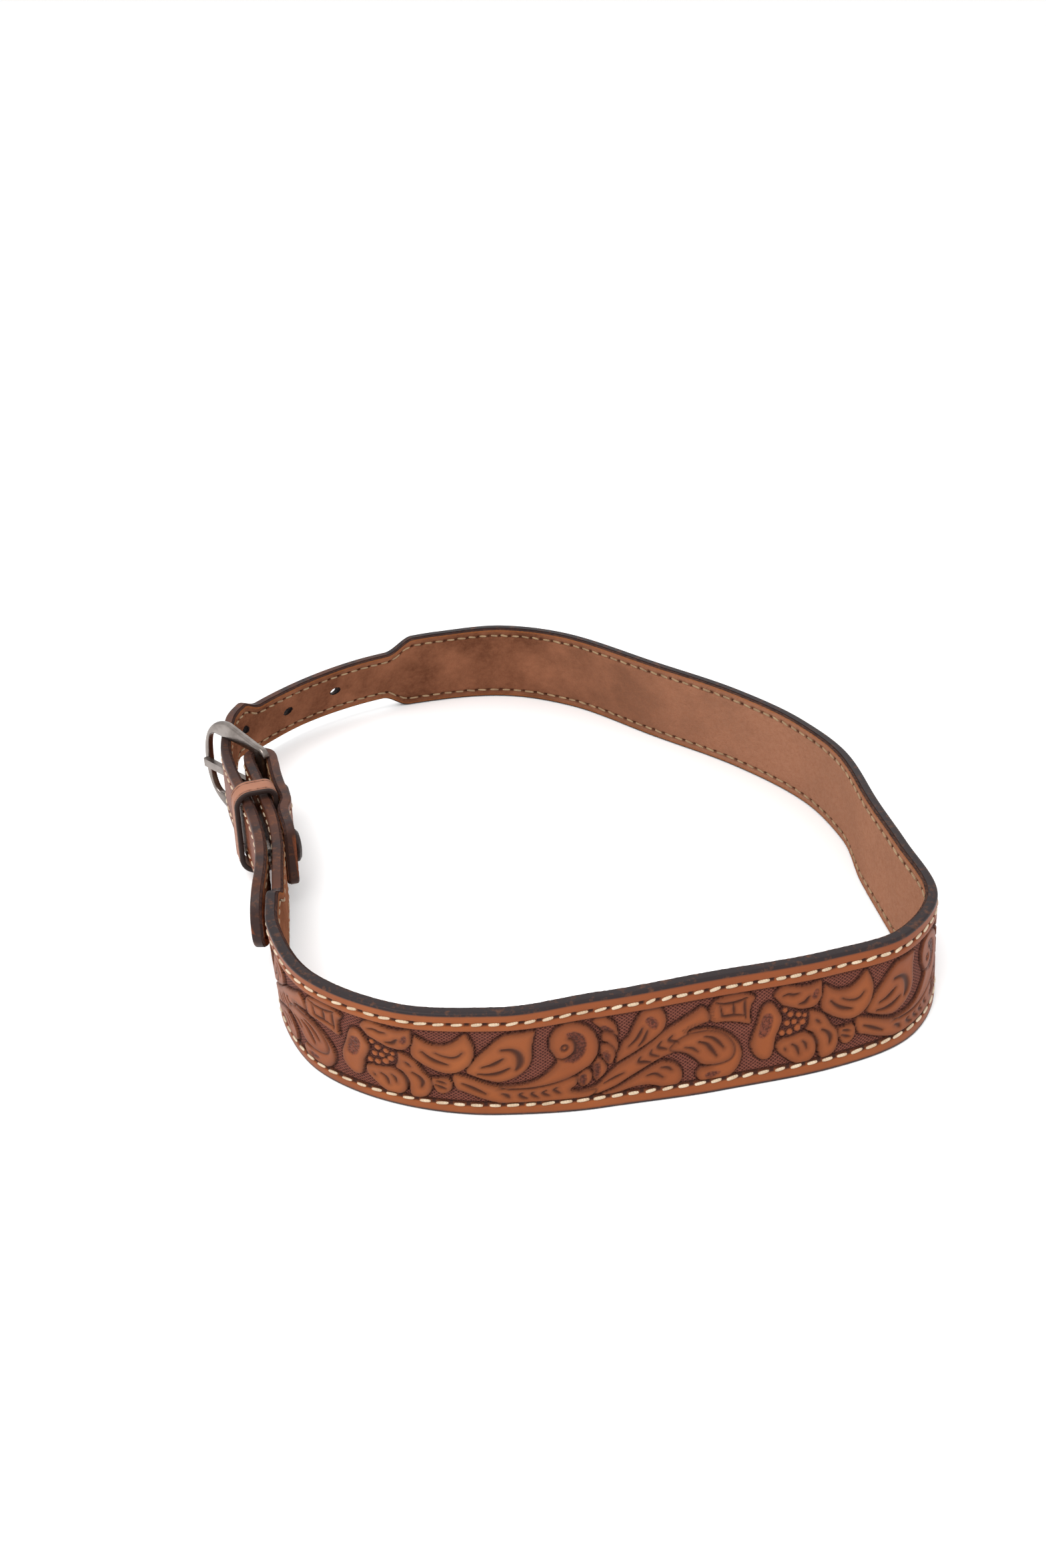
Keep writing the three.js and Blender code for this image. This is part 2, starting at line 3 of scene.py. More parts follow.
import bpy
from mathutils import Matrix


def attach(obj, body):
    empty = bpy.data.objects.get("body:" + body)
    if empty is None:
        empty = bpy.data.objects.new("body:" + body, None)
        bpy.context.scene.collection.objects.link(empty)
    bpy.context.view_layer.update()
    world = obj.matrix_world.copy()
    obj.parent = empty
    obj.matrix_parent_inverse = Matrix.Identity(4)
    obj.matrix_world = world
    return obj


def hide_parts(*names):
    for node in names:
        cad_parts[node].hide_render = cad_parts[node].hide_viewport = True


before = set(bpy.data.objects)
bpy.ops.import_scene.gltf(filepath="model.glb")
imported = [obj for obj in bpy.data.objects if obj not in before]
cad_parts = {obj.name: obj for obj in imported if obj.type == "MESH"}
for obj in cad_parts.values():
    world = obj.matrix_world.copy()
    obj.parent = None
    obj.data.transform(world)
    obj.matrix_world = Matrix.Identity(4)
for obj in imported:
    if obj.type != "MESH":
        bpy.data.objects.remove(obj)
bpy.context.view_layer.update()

import math

import bpy
import numpy as np

rng = np.random.default_rng(7)

# Sizes in millimetres. They and the route's tables repeat the CAD model's.
MM = 0.001
LOOP_WIDTH = 245.5
LOOP_DEPTH = 264.3
STRAP_WIDTH = 38.1
BILLET_WIDTH = 25.4
FACE_THICKNESS = 2.6
LINING_THICKNESS = 1.0
LINING_INSET = 0.3
SHOULDER_LENGTH = 12.0
BUCKLE_END = 84.7
FOLD_BACK_LENGTH = 53.0
FOLD_BACK_CORNER = 4.0
BILLET_LENGTH = 217.0
TIP_LENGTH = 13.0
TIP_ROUNDING = 0.82
BUCKLE_LIFT = 2.6
CLEARANCE = 0.3
HOLE_SPACING = 25.8
FIRST_HOLE = 35.5
HOLE_LENGTH = 5.0
HOLE_HEIGHT = 3.6
OPEN_HOLES = 3
HOLE_SAG = 0.3
BAR_RADIUS = 1.8
FRAME_LENGTH = 32.5
FRAME_THICKNESS = 2.8
RAIL_HEIGHT = 7.0
TOE_BAR_WIDTH = 2.6
TONGUE_WIDTH = 3.2
TONGUE_THICKNESS = 2.2
KEEPER_THICKNESS = 1.8
KEEPER_WIDTH = 8.5
KEEPER_SLACK = 1.2
KEEPER_PLACE = 0.337
STUD_HEIGHT = 0.8
HEEL_BAR_ACROSS = 0.07
HEEL_BAR_BACK = 0.577
LEG_ANGLE = math.radians(-70)
FRAME_SPREAD = math.radians(28.6)

# The strap's way from the heel bar: along, out. Shares of BUCKLE_END.
LEG_ROWS = (
    (0.0, 0.0), (0.18, 0.0), (0.35, 0.0), (0.53, 0.003), (0.71, 0.025),
    (0.85, 0.055), (1.0, 0.088), (1.16, 0.126), (1.32, 0.154),
)
# Round the loop: across, back (shares of LOOP_WIDTH, LOOP_DEPTH), lean in degrees.
LOOP_ROWS = (
    (0.212, 0.071, -4), (0.316, 0.014, -4), (0.438, 0.001, 0), (0.56, 0.021, 7),
    (0.703, 0.055, 12), (0.841, 0.091, 12), (0.943, 0.137, 9), (0.998, 0.223, 6),
    (0.982, 0.334, 4), (0.965, 0.446, 5), (0.954, 0.559, 8), (0.908, 0.664, 11),
    (0.817, 0.764, 11), (0.69, 0.86, 11), (0.547, 0.966, 12), (0.432, 1.0, 13),
    (0.312, 0.981, 15), (0.198, 0.935, 17), (0.098, 0.861, 18), (0.025, 0.77, 16),
)
# The billet's way past the toe bar: along, out, lean.
APPROACH_ROWS = ((-0.53, 0.006, 10), (-0.395, 0.066, 4), (-0.24, 0.104, 1), (-0.097, 0.13, 0))
# Where the billet rides beside the strap: along, spare room in thicknesses.
RIDE_ROWS = (
    (0.07, 0.55), (0.24, 0.42), (0.41, 0.25), (0.56, 0.2),
    (0.69, 0.1), (0.81, 0.05), (0.92, 0.15), (1.07, 0.5),
)

THICKNESS = FACE_THICKNESS + CLEARANCE + LINING_THICKNESS
SURFACE = THICKNESS / 2
MID_HEIGHT = STRAP_WIDTH / 2
FOLD_RADIUS = BAR_RADIUS + CLEARANCE + THICKNESS / 2
HEEL_GAP = 2 * (BAR_RADIUS + CLEARANCE)
KEEPER_ROOM = 1.5 * CLEARANCE
KEEPER_GAP = KEEPER_THICKNESS + 2 * KEEPER_ROOM
KEEPER_ALONG = KEEPER_PLACE * BUCKLE_END
TONGUE_ROOM = 1.5 * CLEARANCE
FRAME_ROOM = 1.3 * CLEARANCE
CLOSED_GAP = 2 * CLEARANCE
RIDE_GAP = STUD_HEIGHT + 2 * CLEARANCE
# The gap to the folded-back end: along (shares of BUCKLE_END), gap.
FOLD_ROWS = (
    (0.07, HEEL_GAP * 0.8 + KEEPER_GAP * 0.2), (0.16, HEEL_GAP * 0.3 + KEEPER_GAP * 0.7),
    (0.27, KEEPER_GAP), (0.39, KEEPER_GAP), (0.46, CLOSED_GAP), (0.6, CLOSED_GAP),
    (0.74, CLOSED_GAP + THICKNESS * 0.3), (1.1, CLOSED_GAP + THICKNESS * 0.9),
)

heel_bar = np.array([HEEL_BAR_ACROSS * LOOP_WIDTH, HEEL_BAR_BACK * LOOP_DEPTH])
leg_direction = np.array([math.cos(LEG_ANGLE), math.sin(LEG_ANGLE)])
out_direction = np.array([leg_direction[1], -leg_direction[0]])


# Falls and rises between 0 and 1

def smoothstep(value, low, high):
    share = np.clip((value - low) / (high - low), 0, 1)
    return share * share * (3 - 2 * share)


def fade(gap, reach):
    """Falls evenly from 1 at no gap to 0 at the reach."""
    return np.clip(1 - gap / reach, 0, 1)


def dome(gap, reach):
    """Falls as a parabola from 1 at no gap to 0 at the reach."""
    return np.clip(1 - (gap / reach) ** 2, 0, 1)


def full_turn(count):
    return np.linspace(0, 2 * np.pi, count, endpoint=False)


# The route of the strap

def leg_place(along, out):
    return heel_bar + leg_direction * along + out_direction * out


def read_rows(rows, along):
    upper = next((i for i, row in enumerate(rows) if row[0] >= along), len(rows) - 1)
    upper = max(upper, 1)
    low, high = rows[upper - 1], rows[upper]
    return low[1] + (high[1] - low[1]) * (along - low[0]) / (high[0] - low[0])


def leg_out(along):
    return FOLD_RADIUS + read_rows(LEG_ROWS, along / BUCKLE_END) * BUCKLE_END


def fold_back_out(along):
    return leg_out(along) - THICKNESS - read_rows(FOLD_ROWS, along / BUCKLE_END)


def ride_out(along):
    return leg_out(along) + THICKNESS + RIDE_GAP + read_rows(RIDE_ROWS, along / BUCKLE_END) * THICKNESS


def route_points():
    """Each point of the strap's middle line with its lean and lift, from the folded-back end."""
    points = [(leg_place(FOLD_BACK_LENGTH, fold_back_out(FOLD_BACK_LENGTH)), 0, BUCKLE_LIFT)]
    for row in reversed(FOLD_ROWS):
        along = row[0] * BUCKLE_END
        if along < FOLD_BACK_LENGTH - THICKNESS:
            points.append((leg_place(along, fold_back_out(along)), 0, BUCKLE_LIFT))
    for turn in np.radians(np.arange(0, 181, 30)):
        place = leg_place(-FOLD_RADIUS * math.sin(turn), -FOLD_RADIUS * math.cos(turn))
        points.append((place, 0, BUCKLE_LIFT))
    for share, _ in LEG_ROWS[1:]:
        along = share * BUCKLE_END
        lift = BUCKLE_LIFT * min(max(2 - 2 * share, 0), 1)
        points.append((leg_place(along, leg_out(along)), -3 if share > 1 else 0, lift))
    for across, back, lean in LOOP_ROWS:
        points.append((np.array([across * LOOP_WIDTH, back * LOOP_DEPTH]), lean, 0))
    for share, out, lean in APPROACH_ROWS:
        points.append((leg_place(share * BUCKLE_END, out * BUCKLE_END), lean, BUCKLE_LIFT))
    for share, _ in RIDE_ROWS:
        along = share * BUCKLE_END
        points.append((leg_place(along, ride_out(along)), 0, BUCKLE_LIFT))
    return points


class Route:
    """The route as a centripetal Catmull-Rom curve that can be read by its length."""

    STEPS_PER_ROW = 60
    NUDGE = 1e-4

    def __init__(self):
        rows = route_points()
        places = np.array([row[0] for row in rows])
        self.leans = np.radians([row[1] for row in rows])
        self.lifts = np.array([row[2] for row in rows], float)
        self.last_row = len(rows) - 1
        self.padded = np.vstack([2 * places[0] - places[1], places, 2 * places[-1] - places[-2]])
        self.steps = np.linspace(0, 1, self.STEPS_PER_ROW * len(rows) + 1)
        chords = np.linalg.norm(np.diff(self.curve(self.steps), axis=0), axis=1)
        self.lengths = np.concatenate([[0], np.cumsum(chords)])
        self.length = self.lengths[-1]

    def split(self, position):
        """The row before a position from 0 to 1, and the share of the way to the next row."""
        position = position * self.last_row
        row = np.minimum(position.astype(int), self.last_row - 1)
        return row, position - row

    def curve(self, position):
        row, w = self.split(np.clip(np.atleast_1d(position), 0, 1))
        w = w[:, None]
        p0, p1, p2, p3 = (self.padded[row + i] for i in range(4))
        d0, d1, d2 = (((b - a) ** 2).sum(1)[:, None] ** 0.25 for a, b in ((p0, p1), (p1, p2), (p2, p3)))
        t1 = ((p1 - p0) / d0 - (p2 - p0) / (d0 + d1) + (p2 - p1) / d1) * d1
        t2 = ((p2 - p1) / d1 - (p3 - p1) / (d1 + d2) + (p3 - p2) / d2) * d1
        return p1 + t1 * w + (3 * (p2 - p1) - 2 * t1 - t2) * w ** 2 + (2 * (p1 - p2) + t1 + t2) * w ** 3

    def station(self, length):
        """Place, direction out, lean and lift at each length."""
        position = np.interp(length, self.lengths, self.steps)
        along = self.curve(position + self.NUDGE) - self.curve(position - self.NUDGE)
        along /= np.linalg.norm(along, axis=1)[:, None]
        out = np.stack([along[:, 1], -along[:, 0]], 1)
        row, share = self.split(position)
        eased = smoothstep(share, 0, 1)
        lean, lift = (values[row] * (1 - eased) + values[row + 1] * eased
                      for values in (self.leans, self.lifts))
        return self.curve(position), out, lean, lift


route = Route()

# From the route's plan to the part's frame
SHIFT = np.array([-120.6, -134.3])
SEARCH_STEP = 0.25


def heel_length():
    """The length at which the strap's fold is farthest round the heel bar."""
    lengths = np.arange(0, FOLD_BACK_LENGTH * 1.5, SEARCH_STEP)
    gaps = np.linalg.norm(route.station(lengths)[0] - leg_place(-FOLD_RADIUS, 0), axis=1)
    return lengths[np.argmin(gaps)]


HEEL_LENGTH = heel_length()
NEAR_SHOULDER = HEEL_LENGTH + FOLD_RADIUS * math.pi / 2 + BUCKLE_END
FAR_SHOULDER = route.length - BILLET_LENGTH
WIDE_START = NEAR_SHOULDER + SHOULDER_LENGTH
WIDE_END = FAR_SHOULDER - SHOULDER_LENGTH


def half_width(length):
    rise = smoothstep(length, NEAR_SHOULDER, WIDE_START)
    fall = smoothstep(length, WIDE_END, FAR_SHOULDER)
    half = (BILLET_WIDTH + (STRAP_WIDTH - BILLET_WIDTH) * np.minimum(rise, 1 - fall)) / 2
    start = np.clip(1 - length / FOLD_BACK_CORNER, 0, 1)
    tip = np.clip(1 - (route.length - length) / TIP_LENGTH, 0, 1)
    start_cut = FOLD_BACK_CORNER * (1 - np.sqrt(1 - start ** 2))
    tip_cut = half * TIP_ROUNDING * (1 - np.sqrt(1 - tip ** 2))
    return half - start_cut - tip_cut


def wall(length, outward, up):
    """Points of the strap in millimetres: outward from its middle, up from mid-height."""
    length, outward, up = np.broadcast_arrays(length, outward, up)
    place, out, lean, lift = route.station(length.ravel())
    reach = outward.ravel() - up.ravel() * np.sin(lean)
    plan = place + out * reach[:, None] + SHIFT
    height = (MID_HEIGHT + up.ravel()) * np.cos(lean) + lift
    return np.column_stack([plan, height]).reshape(length.shape + (3,))


# Materials, with linear colours

TOP_DEEP = (0.165, 0.041, 0.0115)
TOP_LIGHT = (0.31, 0.090, 0.024)
TOP_BLOTCH = (0.185, 0.046, 0.0145)
GROUND_DEEP = (0.062, 0.0155, 0.0105)
GROUND_LIGHT = (0.185, 0.058, 0.038)
STIPPLE_DEEP = (0.045, 0.0115, 0.0075)
STIPPLE_LIGHT = (0.135, 0.034, 0.018)
# Dark of the dye in outlines and cuts, also used for painted shade
DYE_AND_SHADE_DARK = (0.017, 0.0045, 0.0035)
EDGE_PAINT = (0.022, 0.0155, 0.016)
EDGE_WORN = (0.12, 0.045, 0.02)
SUEDE_LIGHT = (0.27, 0.108, 0.058)
SUEDE_DEEP = (0.115, 0.042, 0.022)
SUEDE_RIGHT_SIDE = (0.40, 0.20, 0.125)
SUEDE_TUFT = (0.26, 0.105, 0.056)
SUEDE_FINE = (0.08, 0.03, 0.015)
SUEDE_STRIP = (0.26, 0.09, 0.03)
SUEDE_HOLE_SHADE = (0.04, 0.014, 0.008)
KEEPER_DEEP = (0.24, 0.095, 0.055)
KEEPER_LIGHT = (0.33, 0.15, 0.09)
KEEPER_HOLE_SHADE = (0.035, 0.014, 0.009)
KEEPER_PAINT = (0.024, 0.014, 0.012)
# Threads: light, dirty. Metals: bright, dull, roughness.
OUTER_THREAD = (0.60, 0.48, 0.34), (0.40, 0.28, 0.175)
INNER_THREAD = (0.34, 0.22, 0.115), (0.2, 0.115, 0.055)
KEEPER_THREAD = (0.27, 0.12, 0.07), (0.12, 0.045, 0.03)
NICKEL = (0.26, 0.228, 0.21), (0.115, 0.095, 0.083), 0.22
DARK_SNAP = (0.05, 0.036, 0.034), (0.02, 0.014, 0.013), 0.38
FLOOR_WHITE = (0.98, 0.98, 0.98)


class Look:
    """A material, with short ways to add nodes. A value may be plain or another node's output."""

    def __init__(self, name):
        self.material = bpy.data.materials.new(name)
        self.material.use_nodes = True
        self.tree = self.material.node_tree

    def give(self, socket, value):
        if hasattr(value, "links"):
            self.tree.links.new(value, socket)
        else:
            socket.default_value = (*value, 1) if socket.type == "RGBA" else value

    def node(self, kind, **values):
        """A node whose values go to the inputs of their names, or else to its settings."""
        node = self.tree.nodes.new(kind)
        for name, value in values.items():
            if name in node.inputs:
                self.give(node.inputs[name], value)
            else:
                setattr(node, name, value)
        return node

    def joined(self, kind, *values, **settings):
        """The first output of a node whose inputs take the values in order."""
        node = self.node(kind, **settings)
        for socket, value in zip(node.inputs, values):
            self.give(socket, value)
        return node.outputs[0]

    def maths(self, operation, first, second):
        return self.joined("ShaderNodeMath", first, second, operation=operation)

    def times(self, first, second):
        return self.maths("MULTIPLY", first, second)

    def ramp(self, source, low, high):
        return self.joined("ShaderNodeMapRange", source, low, high)

    def mix(self, factor, first, second):
        node = self.node("ShaderNodeMix", data_type="RGBA")
        for index, value in ((0, factor), (6, first), (7, second)):
            self.give(node.inputs[index], value)
        return node.outputs[2]

    def place(self, kind):
        return self.node("ShaderNodeTexCoord").outputs[kind]

    def noise(self, scale, detail=3.0, rough=0.5):
        node = self.node("ShaderNodeTexNoise", Vector=self.place("Object"),
                         Scale=scale, Detail=detail, Roughness=rough)
        return node.outputs["Fac"]

    def bump(self, height, strength, distance, after=None):
        node = self.node("ShaderNodeBump", Height=height, Strength=strength, Distance=distance)
        if after:
            self.give(node.inputs["Normal"], after)
        return node.outputs[0]

    def marks(self):
        """The mesh's own marks: ground, dark, shade and edge."""
        marks = self.node("ShaderNodeAttribute", attribute_name="marks")
        parts = self.node("ShaderNodeSeparateColor", Color=marks.outputs["Color"])
        return (*parts.outputs[:3], marks.outputs["Alpha"])

    def done(self, colour, roughness, specular=None, normal=None, metallic=0.0):
        shader = self.tree.nodes["Principled BSDF"]
        rows = (("Base Color", colour), ("Roughness", roughness), ("Specular IOR Level", specular),
                ("Normal", normal), ("Metallic", metallic))
        for name, value in rows:
            if value is not None:
                self.give(shader.inputs[name], value)
        return self.material


def hatching(look):
    """The fine crossed lines that a matting tool leaves in the ground."""
    lines = []
    for turned in (1, -1):
        mapping = look.node("ShaderNodeMapping", Vector=look.place("UV"), Scale=(turned, 1.3, 1))
        wave = look.node("ShaderNodeTexWave", Vector=mapping.outputs[0], Scale=4.4, Distortion=1.5,
                         Detail=2.0, bands_direction="DIAGONAL")
        lines.append(wave.outputs["Fac"])
    return look.maths("MAXIMUM", *lines)


def tooled_leather():
    look = Look("tooled_leather")
    ground, dark, shade, edge = look.marks()
    hatch = hatching(look)
    top = look.mix(look.noise(55.0, 4.0), TOP_DEEP, TOP_LIGHT)
    top = look.mix(look.ramp(look.noise(9.0, 2.0), 0.35, 0.7), top, TOP_BLOTCH)
    low = look.mix(look.ramp(hatch, 0.25, 1.0), GROUND_DEEP, GROUND_LIGHT)
    stipple = look.ramp(look.noise(1500.0, 1.0), 0.4, 0.62)
    worn = look.ramp(look.noise(420.0, 4.0, 0.65), 0.52, 0.70)
    colour = look.mix(ground, top, low)
    colour = look.mix(shade, colour, look.mix(stipple, STIPPLE_DEEP, STIPPLE_LIGHT))
    # The dark mark: dye in outlines and cuts, with painted shade on rims, round cuts and in needle holes
    colour = look.mix(look.times(dark, 0.92), colour, DYE_AND_SHADE_DARK)
    colour = look.mix(edge, colour, look.mix(look.times(worn, 0.6), EDGE_PAINT, EDGE_WORN))
    rough = look.mix(ground, (0.47, 0.47, 0.47), (0.72, 0.72, 0.72))
    matting = look.node("ShaderNodeTexVoronoi", Vector=look.place("Object"), Scale=1150.0)
    deep = look.times(matting.outputs["Distance"], look.maths("ADD", ground, shade))
    normal = look.bump(look.noise(900.0, 3.0, 0.6), 0.18, 0.0002)
    normal = look.bump(deep, 0.7, 0.0004, normal)
    normal = look.bump(look.times(hatch, ground), 0.9, 0.0006, normal)
    return look.done(colour, rough, 0.14, normal)


def suede_leather():
    look = Look("suede")
    _, dark, shade, edge = look.marks()
    fibres = look.noise(620.0, 5.0, 0.75)
    fine = look.noise(1700.0, 2.0, 0.7)
    colour = look.mix(look.ramp(look.noise(30.0, 5.0, 0.65), 0.40, 0.62), SUEDE_LIGHT, SUEDE_DEEP)
    # The suede turns lighter toward the right of the loop, along X
    axes = look.node("ShaderNodeSeparateXYZ", Vector=look.place("Object"))
    edge_rub_and_right_side = look.ramp(axes.outputs["X"], -0.01, 0.11)
    colour = look.mix(look.times(edge_rub_and_right_side, 0.75), colour, SUEDE_RIGHT_SIDE)
    colour = look.mix(look.times(look.ramp(fibres, 0.42, 0.75), 0.6), colour, SUEDE_TUFT)
    colour = look.mix(look.times(fine, 0.35), colour, SUEDE_FINE)
    colour = look.mix(shade, colour, SUEDE_STRIP)
    # Needle holes, darkened with painted shade
    colour = look.mix(dark, colour, SUEDE_HOLE_SHADE)
    colour = look.mix(edge, colour, EDGE_PAINT)
    normal = look.bump(fine, 0.5, 0.0003, look.bump(fibres, 0.7, 0.0006))
    return look.done(colour, 0.95, 0.0, normal)


def keeper_leather():
    look = Look("keeper_leather")
    _, dark, _, edge = look.marks()
    colour = look.mix(look.noise(160.0, 4.0), KEEPER_DEEP, KEEPER_LIGHT)
    # Needle holes, darkened with painted shade
    colour = look.mix(dark, colour, KEEPER_HOLE_SHADE)
    colour = look.mix(edge, colour, KEEPER_PAINT)
    return look.done(colour, 0.55, 0.2, look.bump(look.noise(1200.0), 0.3, 0.0003))


def thread(name, light, dirty):
    look = Look(name)
    twist = look.node("ShaderNodeTexWave", Vector=look.place("UV"), Scale=0.75, Distortion=1.2,
                      bands_direction="DIAGONAL")
    colour = look.mix(look.ramp(look.noise(240.0), 0.35, 0.75), light, dirty)
    return look.done(colour, 0.6, normal=look.bump(twist.outputs["Fac"], 0.6, 0.0003))


def satin_metal(name, bright, dull, rough):
    look = Look(name)
    cloud = look.noise(120.0, 4.0, 0.6)
    colour = look.mix(look.ramp(cloud, 0.4, 0.75), bright, dull)
    rough = look.maths("ADD", look.times(look.ramp(cloud, 0.0, 1.0), 0.16), rough)
    pits = look.bump(look.noise(2600.0, 2.0), 0.12, 0.0002)
    return look.done(colour, rough, normal=pits, metallic=1.0)


# Meshes

def make_piece(name, vertices, faces, material, marks=None, uvs=None, angle=42):
    """A mesh object in metres from vertices in millimetres, with marks and UVs per vertex."""
    mesh = bpy.data.meshes.new(name)
    mesh.from_pydata((np.reshape(vertices, (-1, 3)) * MM).tolist(), [], faces)
    if marks is not None:
        layer = mesh.color_attributes.new("marks", "FLOAT_COLOR", "POINT")
        layer.data.foreach_set("color", np.asarray(marks, np.float32).ravel())
    if uvs is not None:
        loops = np.empty(len(mesh.loops), int)
        mesh.loops.foreach_get("vertex_index", loops)
        layer = mesh.uv_layers.new(name="UVMap")
        layer.data.foreach_set("uv", np.reshape(uvs, (-1, 2)).astype(np.float32)[loops].ravel())
    mesh.polygons.foreach_set("use_smooth", np.ones(len(mesh.polygons), bool))
    mesh.update()
    mesh.set_sharp_from_angle(angle=math.radians(angle))
    mesh.materials.append(material)
    piece = bpy.data.objects.new(name, mesh)
    bpy.context.scene.collection.objects.link(piece)
    return piece


def tube_faces(rows, columns, closed=False):
    """Faces of a tube of rows x columns points: capped, or with its last row joined to its first."""
    ring = np.arange(columns)
    following = np.roll(ring, -1)
    starts = np.arange(rows if closed else rows - 1)[:, None] * columns
    ends = (starts + columns) % (rows * columns)
    corners = (starts + ring, ends + ring, ends + following, starts + following)
    faces = np.stack(corners, -1).reshape(-1, 4).tolist()
    if not closed:
        faces.append(list(range(columns)))
        faces.append([(rows - 1) * columns + i for i in reversed(range(columns))])
    return faces


def joined_tubes(tubes, order=1):
    """The vertices and faces of many capped tubes, each an array of rings x sides points."""
    rings, sides = tubes[0].shape[:2]
    quads = tube_faces(rings, sides)
    faces = []
    for base in range(0, len(tubes) * rings * sides, rings * sides):
        faces += [[base + i for i in face][::order] for face in quads]
    return np.concatenate([tube.reshape(-1, 3) for tube in tubes]), faces


# The tooled pattern: one repeat, charted as closed outlines and cuts in millimetres
# along the strap and up from its middle. Drawn in this order, each over the ones before.
REPEAT_START = 218.0
REPEAT_LENGTH = 123.5
FIELD_TOP = 12.7
FIELD_BOTTOM = -14.1
FIELD_SHIFT = -0.45
FIELD_END = 4.0
CANVAS_PITCH = 0.17
CANVAS_MARGIN = 1.5
GROUND_DEPTH = 0.85
BEVEL_DEPTH = 0.4
BEVEL_REACH = 1.15
RIM_DEPTH = 0.38
RIM_REACH = 0.75
CROWN_DEPTH = 0.15
CROWN_REACH = 3.5
LINE_REACH = 0.4
# How far painted shade reaches in from a raised shape's rim
SHADOW_REACH = 2.3
SHADE_DEPTH = 0.26
CUT_WIDENING = 1.45
# How far painted shade reaches past a cut
CUT_SHADE_REACH = 1.3
STROKE_HALF = 0.2
STROKE_DEPTH = 0.16
STROKE_DARK = 0.62
SEED_SIZE = 1.12
SEED_BED_DEPTH = 0.7
SEED_FOOT = 0.6
SEED_DOME = 0.55
SEED_RING = 0.28
EYE_DEPTH = 0.4
# How dark each mark is, from 0 to 1
OUTSIDE_DARK = 0.9
LINE_DARK = 0.7
SHADOW_DARK = 0.55
BED_DARK = 0.6
SHADE_MARK = 0.9
CUT_MARK = 0.95
HALO_SHADE = 0.45
BORDER_DARK = 0.85
EYE_DARK = 0.85

